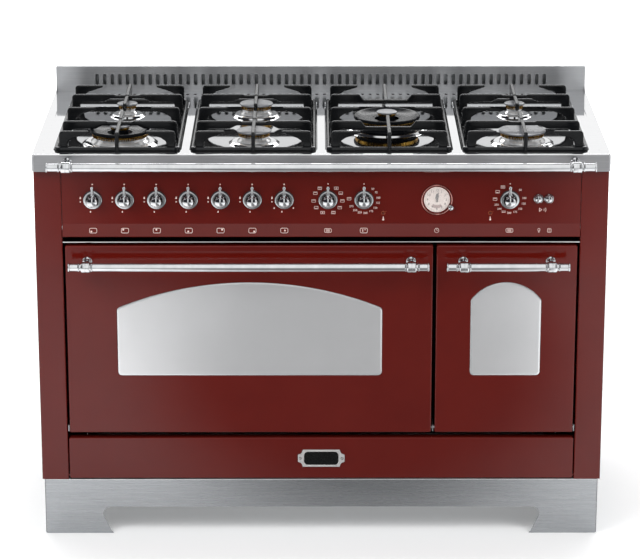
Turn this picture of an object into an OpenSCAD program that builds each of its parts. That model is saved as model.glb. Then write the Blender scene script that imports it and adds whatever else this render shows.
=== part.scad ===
// Free-standing range cooker: seven gas burners, two drop-down ovens and a storage flap.
// Millimetres. +X right, +Y towards the back, +Z up, origin on the floor at the centre of the outline.
// Inside the modules the depth is counted backwards from the front edge of the hob.

/* [Hob] */
// Width of the hob
hob_w = 1200; // [1160:10:1240]
// Depth of the hob
hob_d = 600; // [590:5:640]
// Height of the skirt round the hob
skirt_h = 37; // [30:1:44]
// Width of the raised rim along the sides
rim_side = 20; // [12:1:26]
// Width of the raised rim along the front
rim_front = 21; // [14:1:26]
// Depth of the rear ledge in front of and under the upstand
rim_rear = 45; // [40:1:60]
// How far the pan lies below the rim
pan_drop = 8; // [5:1:12]
// Corner radius of the pan
pan_corner_r = 25; // [10:1:30]

/* [Upstand] */
// Height of the upstand above the hob
splash_h = 57; // [50:1:80]
// Thickness of the upstand, front to back
splash_d = 22; // [16:1:26]
// Number of vent slots
vent_count = 60; // [20:2:64]
// Distance from one vent slot to the next
vent_pitch = 17.14; // [14:0.1:18]
// Width of a vent slot
vent_w = 7.8; // [5:0.1:9]
// Height of a vent slot
vent_h = 25.7; // [16:0.1:27]
// Distance from the top edge to the slots
vent_drop = 17.5; // [12:0.5:20]

/* [Body] */
// How far the cabinet lies inside the hob at each side
body_in = 1; // [0:0.5:5]
// How far the cabinet front lies behind the hob front
front_d = 18; // [14:1:24]
// How far the cabinet's back lies in front of the hob's rear edge
back_in = 23; // [21:1:40]
// Thickness of the cabinet sheets
sheet = 2; // [1.5:0.1:2.5]
// Width of the pillar on each side of the doors
pillar_w = 57; // [50:1:64]
// Depth of the plate that the doors close against
frame_d = 64; // [62:1:72]

/* [Plinth] */
// Height of the plinth
plinth_h = 126; // [110:1:160]
// How far the plinth lies inside the cabinet sides
plinth_inset = 4.5; // [2:0.5:8]
// Height of the opening between the feet
toe_h = 61; // [40:1:80]
// Width of a foot at the floor
foot_w = 145; // [120:1:180]
// How much narrower a foot is at its waist
foot_waist = 20; // [8:1:30]
// Radius at the top of the opening
toe_r = 16; // [8:1:18]

/* [Storage flap] */
// Gap under the flap
flap_gap = 2.5; // [2.5:0.5:5]
// Height of the flap
flap_h = 92; // [80:1:110]
// Depth of the flap's edges
flap_t = 20; // [16:1:20]
// Gap at each side of the flap
flap_side_gap = 2.5; // [1.5:0.5:4]

/* [Doors] */
// Gap between the flap and the doors
door_gap = 13; // [9:1:16]
// Height of the doors
door_h = 415; // [380:5:440]
// Thickness of the doors
door_t = 46; // [40:1:46]
// How far the doors stand in front of the pillars
door_proud = 3; // [0:0.5:6]
// Width of the main oven's door
main_door_w = 771.5; // [700:0.5:800]
// Gap at the outer side of each door
door_side_gap = 5; // [4:0.5:8]
// Gap between the two doors
door_mid_gap = 7.5; // [6:0.5:10]
// Distance from the door edges to the hinge pin, upwards
hinge_up = 8; // [7:0.5:9]
// Distance from the door front to the hinge pin
hinge_in = 12; // [10:0.5:13]
// Radius of the hinge pins
hinge_r = 3; // [2.5:0.1:3.5]
// Radial clearance of the hinge pins and the knob spindles
run_gap = 0.05; // [0.03:0.01:0.1]
// Thickness of the door glass
glass_t = 4; // [3:0.5:5]

/* [Windows] */
// Height of the window sill above the door's lower edge
sill_up = 128; // [110:1:150]
// Height of a window from sill to crown
window_h = 207; // [180:1:230]
// Radius of the windows' lower corners
window_corner_r = 10; // [6:1:16]
// Width of the main window
main_window_w = 560; // [480:5:600]
// Height of the main window's straight sides
main_side_h = 150.5; // [110:0.5:170]
// Width of the small window
small_window_w = 149; // [120:1:170]
// Height of the small window's straight sides
small_side_h = 168; // [130:1:175]

/* [Ovens] */
// Side wall between the main door's edge and its cavity
cavity_side = 64; // [50:1:80]
// Side wall between the small door's edge and its cavity
small_cavity_side = 41; // [34:1:60]
// Distance from the door's lower edge to the oven floor
cavity_low = 42; // [36:1:60]
// Distance from the oven's ceiling to the door's upper edge
cavity_high = 38; // [30:1:50]
// Space behind the oven cavities, for the fan motor
rear_space = 91; // [80:1:130]
// Thickness of the cavity walls
cavity_t = 3; // [2:0.5:4]
// Radius of the oven fan
fan_r = 75; // [60:1:90]

/* [Control panel] */
// Gap between the doors and the bright strip
trim_gap = 6; // [4:0.5:10]
// Thickness of the bright strip
trim_h = 3; // [2:0.5:4]
// Gap between the bright strip and the control panel
panel_gap = 10.5; // [6:0.5:14]
// Height of the panel's sloping lower strip
strip_h = 27.5; // [20:0.5:34]
// How far the lower strip leans out
strip_out = 6; // [0:0.5:8]
// How far the upright face lies behind the pillars
panel_in = 2; // [0:0.5:4]
// Height of the panel's upright face
face_h = 117.5; // [105:0.5:140]
// Height of the knobs above the panel's fold
knob_up = 52; // [46:0.5:58]

/* [Knobs] */
// Radius of a knob's hub
hub_r = 13.5; // [11:0.1:15]
// Length of a knob's hub
hub_l = 26; // [20:0.5:30]
// Reach of the pointer lever from the knob's axis
lever_l = 31; // [26:0.5:33]
// Width of the pointer lever at the hub
lever_w = 4.5; // [4:0.5:8]
// Width of the pointer lever at its tip
lever_tip_w = 7; // [4:0.5:9]
// Radius of the rosette behind a knob
rosette_r = 19.5; // [17:0.5:22]
// Radius of a knob's spindle
spindle_r = 4; // [3:0.1:4.5]
// Distance from the left pillar to the first burner knob
first_knob_in = 65; // [60:1:80]
// Distance from one burner knob to the next
burner_knob_pitch = 66.6; // [60:0.1:68]
// Distance from the last burner knob to the main oven's selector
selector_step = 91.4; // [80:0.1:96]
// Distance from the selector to the thermostat
thermostat_step = 75; // [66:0.5:80]
// Distance from the small oven's knob to the right pillar
small_knob_in = 148.5; // [140:0.5:156]

/* [Clock and buttons] */
// Radius of the clock's dial
dial_r = 27.2; // [24:0.1:30]
// Width of the clock's bezel
bezel_w = 5.5; // [4:0.1:8]
// Distance from the timer button to the right pillar
button_in = 67; // [60:1:74]
// Distance between the two buttons
button_pitch = 22; // [21:0.5:28]
// Radius of a button
button_r = 9.8; // [8:0.1:10]
// Travel of a button
button_travel = 2.5; // [1.5:0.1:3]
// Distance from an oven knob to its pilot lamp
pilot_side = 40.5; // [36:0.5:46]

/* [Handles] */
// Distance from a mounting face to the bar's axis
bar_out = 45; // [38:1:50]
// Radius of the bars
bar_r = 9; // [7:0.5:10]
// Radius of the barrels round the bars
barrel_r = 12; // [11:0.5:14]
// Length of the barrels
barrel_l = 20.5; // [14:0.5:26]
// Distance from the door's upper edge to the bar
handle_down = 33.5; // [26:0.5:45]
// How much shorter the main handle is than its door
main_bar_less = 18.5; // [10:0.5:60]
// How much shorter the small handle is than its door
small_bar_less = 37.5; // [20:0.5:60]
// Distance from a handle's end to its post
post_in = 37; // [30:1:60]
// Length of the towel rail
rail_l = 1133; // [1000:1:1150]
// Distance from the rail's end to its post
rail_post_in = 41; // [30:1:80]

/* [Burners] */
// Radius of the small burners' caps
small_cap_r = 22.5; // [18:0.5:28]
// Radius of the medium burners' caps
medium_cap_r = 36.5; // [30:0.5:40]
// Radius of the large burner's cap
large_cap_r = 49.5; // [44:0.5:54]
// Radius of the triple burner's outer cap
triple_cap_r = 62.5; // [56:0.5:66]
// Radius of the wok burner's outer cap
wok_cap_r = 71; // [64:0.5:74]
// Radius of the opening in a ring cap
ring_hole_r = 31; // [28:0.5:34]

/* [Grates] */
// Gap between two grates
grate_gap = 21; // [15:1:30]
// Gap between the outer grates and the pan's sides
grate_side_gap = 24.5; // [18:0.5:40]
// Depth of a grate, front to back
grate_l = 446; // [430:1:460]
// Gap between the grates and the pan's front
grate_front_gap = 9; // [8:0.5:20]
// Height of the pan supports above the pan
grate_h = 48; // [44:1:50]
// Thickness of the support plates
plate_t = 8; // [6:0.5:9]
// Section of the low frame bar
frame_bar = 10; // [8:0.5:11]
// Distance from a grate's centre to the plates over the burners
burner_dy = 123; // [112:1:130]
// Distance from a grate's ends to the outer finger plates
finger_in = 12; // [10:0.5:24]
// Distance from the centre line to a finger's tip
finger_tip = 60; // [50:1:75]

/* [Hidden] */
$fn = 48;

// Colours as in the photograph
paint = [0.36, 0.07, 0.07];
steel = [0.75, 0.75, 0.76];
chrome = [0.85, 0.85, 0.87];
iron = [0.07, 0.07, 0.08];
enamel = [0.13, 0.13, 0.14];
brass = [0.75, 0.58, 0.27];
alloy = [0.78, 0.78, 0.78];
mirror_glass = [0.72, 0.72, 0.72];

// Heights, from the floor up
flap_z = plinth_h + flap_gap;
door_z = flap_z + flap_h + door_gap;
door_top = door_z + door_h;
trim_z = door_top + trim_gap;
panel_z = trim_z + trim_h + panel_gap;
fold_z = panel_z + strip_h;
skirt_z = fold_z + face_h;
hob_z = skirt_z + skirt_h;
pan_z = hob_z - pan_drop;
knob_z = fold_z + knob_up;

// Places across the width
body_x = hob_w / 2 - body_in;
open_x = body_x - pillar_w;
main_x = -(open_x - door_side_gap);
small_x = main_x + main_door_w + door_mid_gap;
small_door_w = open_x - door_side_gap - small_x;
plinth_x = body_x - plinth_inset;

// Places along the depth
front_y = -(hob_d - bar_out - barrel_r) / 2;
door_d = front_d - door_proud;
back_d = hob_d - back_in;
cover_d = back_d - sheet;
cavity_back = cover_d - rear_space;
splash_front = hob_d - splash_d;
plinth_d = front_d + 3;
plinth_back = back_d - 17;

// Hinge axes, given as depth and height
door_pin = [door_d + hinge_in, door_z + hinge_up];
flap_d = front_d - 1;
flap_pin_r = 2.5;
flap_pin = [flap_d + 5.5, flap_z + 6.5];
pin_l = 10;

// Cavity sizes
cavity_z = door_z + cavity_low;
cavity_top = door_top - cavity_high;
rack_ledge = 8;
rack_first = 60;
rack_step = 80;
rack_z = [for (i = [0:2]) cavity_z + rack_first + rack_step * i];
rack_gap = 1;

// The control panel's face and the parts behind it
panel_d = front_d + panel_in;
tap_back = panel_d + 28;
tap_half_w = 13;
tap_half_h = 16;
manifold_s = 16;
inlet_x = -open_x + first_knob_in - 43;
inlet_r = 10.5;
inlet_l = 20;
feed_r = 9;
pipe_r = 3;
pipe_row_d = tap_back + 32;
pipe_level = panel_z + 14;
spindle_end = panel_d + 14;

// The row of knobs: seven for the burners, two for the main oven, one for the small oven
BURNER_KNOB_X = [for (i = [0:6]) -open_x + first_knob_in + burner_knob_pitch * i];
selector_x = BURNER_KNOB_X[6] + selector_step;
thermostat_x = selector_x + thermostat_step;
small_knob_x = open_x - small_knob_in;
KNOB_X = concat(BURNER_KNOB_X, [selector_x, thermostat_x, small_knob_x]);
PILOT_X = [thermostat_x + pilot_side, small_knob_x - pilot_side];
BUTTON_X = [open_x - button_in - button_pitch, open_x - button_in];

// Clock
clock_x = (thermostat_x + small_knob_x) / 2;
clock_z = knob_z;
clock_knob_at = [clock_x + 28.9, clock_z - 15.5];
hand_gap = 0.5;
hand_t = 0.5;

// Buttons and lamps
button_z = knob_z + 2;
button_gap = 0.4;
pilot_z = knob_z - 29;
pilot_r = 3;

// Burners: place across, depth, cap radius, radius of the opening in the cap
pan_w = hob_w - 2 * rim_side;
grate_w = (pan_w - 2 * grate_side_gap - 3 * grate_gap) / 4;
grate_pitch = grate_w + grate_gap;
finger_dy = grate_l / 2 - finger_in;
grate_d = rim_front + grate_front_gap + grate_l / 2;
front_burner = grate_d - burner_dy;
rear_burner = grate_d + burner_dy;
function grate_x(i) = (i - 1.5) * grate_pitch;
BURNERS = [
    [grate_x(0), rear_burner, small_cap_r, 0],
    [grate_x(0), front_burner, triple_cap_r, ring_hole_r],
    [grate_x(1), rear_burner, medium_cap_r, 0],
    [grate_x(1), front_burner, medium_cap_r, 0],
    [grate_x(2), grate_d, wok_cap_r, ring_hole_r],
    [grate_x(3), rear_burner, small_cap_r, 0],
    [grate_x(3), front_burner, large_cap_r, 0]
];
dome_h = 4.5;
base_h = 6;
cup_h = 16;
ring_h = 4;
cap_h = 4.5;
cup_z = pan_z + dome_h;
burner_hole_r = 14;
inner_cap_r = 22;
inner_rise = 6;
stem_l = 24;

// Grate levels
grate_foot = 3;
bar_z = pan_z + grate_foot;
bar_top = bar_z + 12;
grate_top = pan_z + grate_h;

// Helpers

// Moves a piece from depths to the frame of the part
module place() translate([0, front_y, 0]) children();

// A block given by its low and high corners
module block(low, high) translate(low) cube(high - low);

// A cylinder that runs towards the back from a depth
module rod_y(x, depth, z, r, length) translate([x, depth, z]) rotate([-90, 0, 0]) cylinder(r = r, h = length);

// A cylinder that runs to the right
module rod_x(x, depth, z, r, length) translate([x, depth, z]) rotate([0, 90, 0]) cylinder(r = r, h = length);

// A shape drawn across and up, pulled towards the back
module upright(depth, thickness) translate([0, depth + thickness, 0]) rotate([90, 0, 0])
    linear_extrude(thickness) children();

// A shape drawn in depth and height, pulled to the right
module sideways(x, width) translate([x, 0, 0]) rotate([90, 0, 90]) linear_extrude(width) children();

// A round pipe along a list of points
module pipe_run(points, r) {
    for (i = [0:len(points) - 2]) pipe_piece(points[i], points[i + 1], r);
    for (i = [1:len(points) - 2]) translate(points[i]) sphere(r = r);
}

// One straight piece of a pipe, along any axis
module pipe_piece(from, to, r) {
    way = to - from;
    turn = way.x != 0 ? [0, 90, 0] : way.y != 0 ? [-90, 0, 0] : [0, 0, 0];
    start = way.x + way.y + way.z > 0 ? from : to;
    if (norm(way) > 0) translate(start) rotate(turn) cylinder(r = r, h = norm(way));
}

// A rectangle with round corners
module round_rect(low, high, r) {
    translate([low.x + r, low.y]) square([high.x - low.x - 2 * r, high.y - low.y]);
    translate([low.x, low.y + r]) square([high.x - low.x, high.y - low.y - 2 * r]);
    for (x = [low.x + r, high.x - r], y = [low.y + r, high.y - r]) translate([x, y]) circle(r = r);
}

// A slot with round ends that stands upright
module upright_slot(w, h) {
    translate([-w / 2, w / 2]) square([w, h - w]);
    for (y = [w / 2, h - w / 2]) translate([0, y]) circle(d = w, $fn = 24);
}

// Cabinet

// The left side panel with its pillar, top flange and flap pin
module side_panel() {
    color(paint) place() {
        block([-body_x, front_d, plinth_h], [sheet - body_x, back_d, skirt_z]);
        block([-body_x, front_d, plinth_h], [-open_x, front_d + sheet, skirt_z]);
        block([-open_x - sheet, front_d, plinth_h], [-open_x, frame_d, skirt_z]);
        block([-body_x, front_d, skirt_z - sheet], [-body_x + 40, cover_d, skirt_z]);
        rod_x(-open_x - sheet, flap_pin.x, flap_pin.y, flap_pin_r, sheet + flap_side_gap + pin_l);
    }
}

module side_panel_left() side_panel();
module side_panel_right() mirror([1, 0, 0]) side_panel();

// Rear cover with its vent slots, the gas passage and the cable entry
louvre_l = 90;
louvre_h = 8;
louvre_pitch = 40;
louvre_rows = 8;
louvre_step = 120;
louvre_x = [for (i = [1:4], side = [-1, 1]) side * louvre_step * i];
cable_in = 119;
cable_x = body_x - cable_in;
cable_r = 11;
cable_up = 60;
cable_z = plinth_h + cable_up;
louvre_z = cable_z + cable_up;
module rear_cover() {
    inner_x = body_x - sheet;
    color(steel) place() difference() {
        block([-inner_x, cover_d, plinth_h + sheet], [inner_x, back_d, skirt_z]);
        for (i = [0:louvre_rows - 1], x = louvre_x)
            block([x - louvre_l / 2, cover_d - 1, louvre_z + louvre_pitch * i],
                  [x + louvre_l / 2, back_d + 1, louvre_z + louvre_pitch * i + louvre_h]);
        rod_y(inlet_x, cover_d - 1, knob_z, feed_r + 0.5, sheet + 2);
        rod_y(cable_x, cover_d - 1, cable_z, cable_r, sheet + 2);
    }
}

module base_tray() {
    inner_x = body_x - sheet;
    color(steel) place()
        block([-inner_x, frame_d + sheet, plinth_h], [inner_x, cover_d, plinth_h + sheet]);
}

// The plate behind the doors, open at both ovens and at the storage space
store_x = open_x - 39;
store_gap = 2;
store_top = flap_z + flap_h - 8;
module front_frame() {
    inner_x = body_x - sheet;
    color(enamel) place() difference() {
        block([-inner_x, frame_d, plinth_h], [inner_x, frame_d + sheet, panel_z + sheet]);
        block([-store_x - store_gap, frame_d - 1, plinth_h - 1],
              [store_x + store_gap, frame_d + sheet + 1, store_top + store_gap]);
        for (span = [main_span(), small_span()])
            block([span[0], frame_d - 1, cavity_z], [span[1], frame_d + sheet + 1, cavity_top]);
    }
}

function main_span() = [main_x + cavity_side, main_x + main_door_w - cavity_side];
function small_span() = [small_x + small_cavity_side, small_x + small_door_w - small_cavity_side];

// The outline of the opening between two feet, from waist to waist
module toe_opening(half_w) {
    waist = half_w + foot_waist;
    polygon([[-half_w, -1], [-half_w, 0], [-waist, toe_h - toe_r - 3], [-waist + toe_r, toe_h],
             [waist - toe_r, toe_h], [waist, toe_h - toe_r - 3], [half_w, 0], [half_w, -1]]);
    for (side = [-1, 1]) translate([side * (waist - toe_r), toe_h - toe_r]) circle(r = toe_r);
}

// Plinth: a front with two feet, two sides with feet, and flanges that carry the cabinet
module plinth() {
    front_half = plinth_x - foot_w;
    side_mid = (plinth_d + plinth_back) / 2;
    side_half = (plinth_back - plinth_d) / 2 - foot_w;
    color(steel) place() {
        upright(plinth_d, sheet) difference() {
            translate([-plinth_x, 0]) square([2 * plinth_x, plinth_h]);
            toe_opening(front_half);
        }
        for (side = [0, 1]) mirror([side, 0, 0]) {
            sideways(-plinth_x, sheet) difference() {
                translate([plinth_d, 0]) square([plinth_back - plinth_d, plinth_h]);
                translate([side_mid, 0]) toe_opening(side_half);
            }
            block([-plinth_x, plinth_d, plinth_h - sheet], [-plinth_x + 34, plinth_back, plinth_h]);
        }
        block([-plinth_x, plinth_d, plinth_h - sheet], [plinth_x, frame_d + sheet, plinth_h]);
    }
}

// Four adjustable feet behind the plinth
foot_side_in = 54.5;
foot_front_in = 69;
foot_rear_in = 40;
foot_pad_r = 22;
foot_pad_h = 10;
foot_stem_r = 8;
foot_x = plinth_x - foot_side_in;
foot_front = plinth_d + foot_front_in;
foot_rear = plinth_back - foot_rear_in;
module levelling_feet() {
    color(enamel) place() for (x = [-foot_x, foot_x], y = [foot_front, foot_rear]) translate([x, y, 0]) {
        cylinder(r = foot_pad_r, h = foot_pad_h);
        cylinder(r = foot_stem_r, h = plinth_h);
    }
}

// Control panel, folded out along its lower edge
panel_gap_side = 0.5;
panel_x = open_x - panel_gap_side;
module panel_outline() {
    lean = strip_out / strip_h;
    inner_low = panel_d - strip_out + sheet * sqrt(1 + lean * lean) + lean * sheet;
    polygon([
        [frame_d, skirt_z], [panel_d, skirt_z], [panel_d, fold_z], [panel_d - strip_out, panel_z],
        [frame_d, panel_z], [frame_d, panel_z + sheet], [inner_low, panel_z + sheet],
        [panel_d + sheet, fold_z], [panel_d + sheet, skirt_z - sheet], [frame_d, skirt_z - sheet]
    ]);
}

module control_panel() {
    color(paint) place() difference() {
        sideways(-panel_x, 2 * panel_x) panel_outline();
        for (x = KNOB_X) panel_hole(x, knob_z, spindle_r + 2);
        panel_hole(clock_x, clock_z, dial_r + 0.3);
        panel_hole(clock_knob_at.x, clock_knob_at.y, clock_stem_r + 0.6);
        for (x = BUTTON_X) panel_hole(x, button_z, button_r + button_gap);
        for (x = PILOT_X) panel_hole(x, pilot_z, pilot_r + 0.1);
    }
}

// A round hole through the panel's upright face
module panel_hole(x, z, r) rod_y(x, panel_d - 1, z, r, sheet + 2);

module trim_strip() {
    color(steel) place()
        block([-panel_x, front_d, trim_z], [panel_x, frame_d, trim_z + trim_h]);
}

// Hob

module pan_area(grow) {
    round_rect([-hob_w / 2 + rim_side - grow, rim_front - grow],
               [hob_w / 2 - rim_side + grow, hob_d - rim_rear + grow], pan_corner_r + grow);
}

// Pressed hob top with its recessed pan, raised seats for the burners and ledge slots
ledge_slot_l = 9;
ledge_slot_w = 3;
seat_slope = 7;
module hob_top() {
    half = hob_w / 2;
    flange = 44;
    color(steel) place() difference() {
        union() {
            difference() {
                block([-half, 0, skirt_z], [half, hob_d, hob_z]);
                translate([0, 0, pan_z]) linear_extrude(pan_drop + 1) pan_area(0);
                difference() {
                    block([sheet - half, sheet, skirt_z + sheet],
                          [half - sheet, hob_d - sheet, hob_z - sheet]);
                    translate([0, 0, pan_z - sheet]) linear_extrude(pan_drop + sheet) pan_area(sheet);
                }
                block([flange - half, flange + 14, skirt_z - 1],
                      [half - flange, hob_d - flange, pan_z - sheet]);
            }
            for (b = BURNERS) translate([b.x, b.y, pan_z - 1])
                cylinder(r1 = b[2] + 10 + seat_slope, r2 = b[2] + 10, h = dome_h + 1);
        }
        for (b = BURNERS) translate([b.x, b.y, pan_z - sheet - 1]) {
            cylinder(r = burner_hole_r, h = dome_h + sheet + 2);
            cylinder(r = b[2] + 6, h = dome_h - 1 + 1);
        }
        for (i = [0:vent_count - 1])
            block([vent_at(i) - ledge_slot_l / 2, splash_front - 12, hob_z - sheet - 1],
                  [vent_at(i) + ledge_slot_l / 2, splash_front - 12 + ledge_slot_w, hob_z + 1]);
    }
}

function vent_at(i) = (i - (vent_count - 1) / 2) * vent_pitch;

module vent_field() {
    upright(splash_front, sheet) difference() {
        translate([-splash_x, hob_z]) square([2 * splash_x, splash_h]);
        for (i = [0:vent_count - 1])
            translate([vent_at(i), hob_z + splash_h - vent_drop - vent_h]) upright_slot(vent_w, vent_h);
    }
}

// Hollow upstand with slots through its front and a plain back
splash_x = hob_w / 2 - 2;
module backsplash() {
    color(steel) place() {
        vent_field();
        block([-splash_x, hob_d - sheet, hob_z], [splash_x, hob_d, hob_z + splash_h]);
        block([-splash_x, splash_front, hob_z + splash_h - sheet], [splash_x, hob_d, hob_z + splash_h]);
        for (side = [0, 1]) mirror([side, 0, 0]) sideways(-splash_x, sheet)
            polygon([[hob_d, hob_z], [hob_d, hob_z + splash_h], [splash_front, hob_z + splash_h],
                     [splash_front, hob_z + 12], [splash_front - 12, hob_z]]);
    }
}

// Handles

// A bar with turned ends, along X from its left end
end_l = 13;
module turned_bar(length) {
    rod_x(end_l, 0, 0, bar_r, length - 2 * end_l);
    for (side = [0, 1]) translate([side * length, 0, 0]) rotate([0, side ? -90 : 90, 0]) rotate_extrude()
        polygon([[0, 0], [bar_r - 2, 0], [bar_r, 1.5], [bar_r, 4], [bar_r + 1.5, 5], [bar_r + 1.5, 8],
                 [bar_r - 2, 8.5], [bar_r - 2, 10.5], [bar_r + 1, 11], [bar_r + 1, end_l], [0, end_l]]);
}

// A post from a mounting face out to the barrel that holds the bar
post_r = 5.5;
module bar_post() {
    rod_x(-barrel_l / 2, 0, 0, barrel_r, barrel_l);
    rod_y(0, 0, 0, post_r, bar_out);
    rod_y(0, bar_out - 3, 0, post_r + 4.5, 3);
}

// A bar of a length centred on a place, with a post near each end
module bar_set(center, face_d, z, length, inset) translate([center, face_d - bar_out, z]) {
    translate([-length / 2, 0, 0]) turned_bar(length);
    for (side = [-1, 1]) translate([side * (length / 2 - inset), 0, 0]) bar_post();
}

rail_z = skirt_z + skirt_h * 0.55;
module towel_rail() color(chrome) place() bar_set(0, 0, rail_z, rail_l, rail_post_in);
module main_handle() color(chrome) place()
    bar_set(main_mid, door_d, door_top - handle_down, main_door_w - main_bar_less, post_in);
module small_handle() color(chrome) place()
    bar_set(small_mid, door_d, door_top - handle_down, small_door_w - small_bar_less, post_in);

// Doors

// The outline of a window: straight sides under a segment of a circle
module window_shape(center, w, side_h) {
    rise = window_h - side_h;
    r = (w * w / 4 + rise * rise) / (2 * rise);
    sill = door_z + sill_up;
    translate([center, sill]) {
        translate([-w / 2, window_corner_r]) square([w, side_h - window_corner_r]);
        translate([window_corner_r - w / 2, 0]) square([w - 2 * window_corner_r, side_h]);
        for (side = [-1, 1]) translate([side * (w / 2 - window_corner_r), window_corner_r])
            circle(r = window_corner_r);
        intersection() {
            translate([0, window_h - r]) circle(r = r, $fn = 120);
            translate([-w / 2, side_h - 1]) square([w, window_h]);
        }
    }
}

// A door's painted skin: a front with a window and four edges
module door_skin(x, w, center, window_w, side_h) {
    color(paint) place() difference() {
        block([x, door_d, door_z], [x + w, door_d + door_t - glass_t, door_top]);
        block([x + sheet, door_d + sheet, door_z + sheet],
              [x + w - sheet, door_d + door_t, door_top - sheet]);
        upright(door_d - 1, sheet + 2) window_shape(center, window_w, side_h);
        rod_x(x - 1, door_pin.x, door_pin.y, hinge_r + run_gap, w + 2);
    }
}

// The mirror pane behind a window, a little larger than the opening
pane_margin = 8;
module window_pane(center, w) {
    sill = door_z + sill_up;
    color(mirror_glass) place()
        block([center - w / 2 - pane_margin, door_d + sheet, sill - pane_margin],
              [center + w / 2 + pane_margin, door_d + sheet + glass_t, sill + window_h + pane_margin]);
}

// The full inner glass that closes a door towards its oven
module inner_pane(x, w) {
    color(enamel) place()
        block([x, door_d + door_t - glass_t, door_z], [x + w, door_d + door_t, door_top]);
}

main_mid = main_x + main_door_w / 2;
small_mid = small_x + small_door_w / 2;
module main_door() door_skin(main_x, main_door_w, main_mid, main_window_w, main_side_h);
module main_window() window_pane(main_mid, main_window_w);
module main_inner_glass() inner_pane(main_x, main_door_w);
module small_door() door_skin(small_x, small_door_w, small_mid, small_window_w, small_side_h);
module small_window() window_pane(small_mid, small_window_w);
module small_inner_glass() inner_pane(small_x, small_door_w);

// One hinge bracket with a pin to the left, to the right or both
bracket_t = 2;
module hinge_bracket(x, left, right) {
    block([x - bracket_t / 2, door_pin.x - 7, door_pin.y - 7], [x + bracket_t / 2, frame_d, door_pin.y + 7]);
    rod_x(x - left, door_pin.x, door_pin.y, hinge_r, left + right);
}

module door_hinges() {
    side = open_x - door_side_gap / 2;
    reach = door_side_gap / 2 + pin_l;
    color(steel) place() {
        hinge_bracket(-side, 0, reach);
        hinge_bracket(side, reach, 0);
        hinge_bracket(small_x - door_mid_gap / 2, door_mid_gap / 2 + pin_l, door_mid_gap / 2 + pin_l);
    }
}

// Storage flap: a painted front with four edges that turns on the pillars' pins
module storage_flap() {
    half = open_x - flap_side_gap;
    top = flap_z + flap_h;
    color(paint) place() difference() {
        block([-half, flap_d, flap_z], [half, flap_d + flap_t, top]);
        block([sheet - half, flap_d + sheet, flap_z + sheet],
              [half - sheet, flap_d + flap_t + 1, top - sheet]);
        rod_x(-half - 1, flap_pin.x, flap_pin.y, flap_pin_r + run_gap, 2 * half + 2);
    }
}

// Bare badge plate with a screw ear at each end
badge_w = 80;
badge_h = 38.5;
badge_t = 3;
badge_ear_w = 100;
badge_ear_h = 17.5;
module badge_plate() {
    color(chrome) place() upright(flap_d - badge_t, badge_t) translate([0, flap_z + flap_h / 2]) {
        square([badge_w, badge_h], center = true);
        round_rect([-badge_ear_w / 2, -badge_ear_h / 2], [badge_ear_w / 2, badge_ear_h / 2], 3);
    }
}

// Open-fronted box behind the flap
module storage_box() {
    front = flap_d + flap_t + 3;
    back = cavity_back - 14;
    color(steel) place() difference() {
        block([-store_x, front, plinth_h + sheet], [store_x, back, store_top]);
        block([sheet - store_x, front - 1, plinth_h + 2 * sheet],
              [store_x - sheet, back - sheet, store_top + 1]);
    }
}

// Ovens

// An enamelled cavity, open at the front, with three rack ledges on each side
module oven_cavity(span, fan) {
    t = cavity_t;
    front = frame_d + sheet;
    color(enamel) place() {
        difference() {
            block([span[0] - t, front, cavity_z - t], [span[1] + t, cavity_back + t, cavity_top + t]);
            block([span[0], front - 1, cavity_z], [span[1], cavity_back, cavity_top]);
            if (fan) rod_y(main_fan_x, cavity_back - 1, fan_z, fan_hole_r, t + 2);
        }
        for (z = rack_z) {
            block([span[0], front + 6, z - 3], [span[0] + rack_ledge, cavity_back, z]);
            block([span[1] - rack_ledge, front + 6, z - 3], [span[1], cavity_back, z]);
        }
    }
}

fan_z = (cavity_z + cavity_top) / 2;
fan_hole_r = 7;
module main_cavity() oven_cavity(main_span(), true);
module small_cavity() oven_cavity(small_span(), false);

// Grill elements under the ceiling of each oven, three bars joined in a loop
element_r = 3.5;
module element(span) {
    z = cavity_top - 22;
    back = cavity_back;
    front = frame_d + 60;
    inset = (span[1] - span[0]) * 0.16;
    step = (span[1] - span[0] - 2 * inset) / 3;
    at = [for (i = [0:3]) span[0] + inset + step * i];
    pipe_run([[at[0], back, z], [at[0], front, z], [at[1], front, z], [at[1], back - 50, z],
              [at[2], back - 50, z], [at[2], front, z], [at[3], front, z], [at[3], back, z]], element_r);
}

module oven_elements() color(steel) place() {
    element(main_span());
    element(small_span());
}

// Fan motor behind the main oven, with its bracket and a bore for the fan's shaft
motor_r = 34;
motor_l = 52;
motor_bracket_w = 120;
motor_bracket_h = 24;
shaft_r = 4;
shaft_in_motor = 26;
wheel_h = 20;
wheel_gap = 10;
main_fan_x = (main_span()[0] + main_span()[1]) / 2;
module fan_motor() {
    color(steel) place() difference() {
        union() {
            rod_y(main_fan_x, cavity_back + cavity_t, fan_z, motor_r, motor_l);
            block([main_fan_x - motor_bracket_w / 2, cavity_back + cavity_t, fan_z - motor_bracket_h / 2],
                  [main_fan_x + motor_bracket_w / 2, cavity_back + cavity_t + sheet,
                   fan_z + motor_bracket_h / 2]);
        }
        rod_y(main_fan_x, cavity_back + cavity_t - 1, fan_z, shaft_r + run_gap, shaft_in_motor + 5);
    }
}

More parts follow.
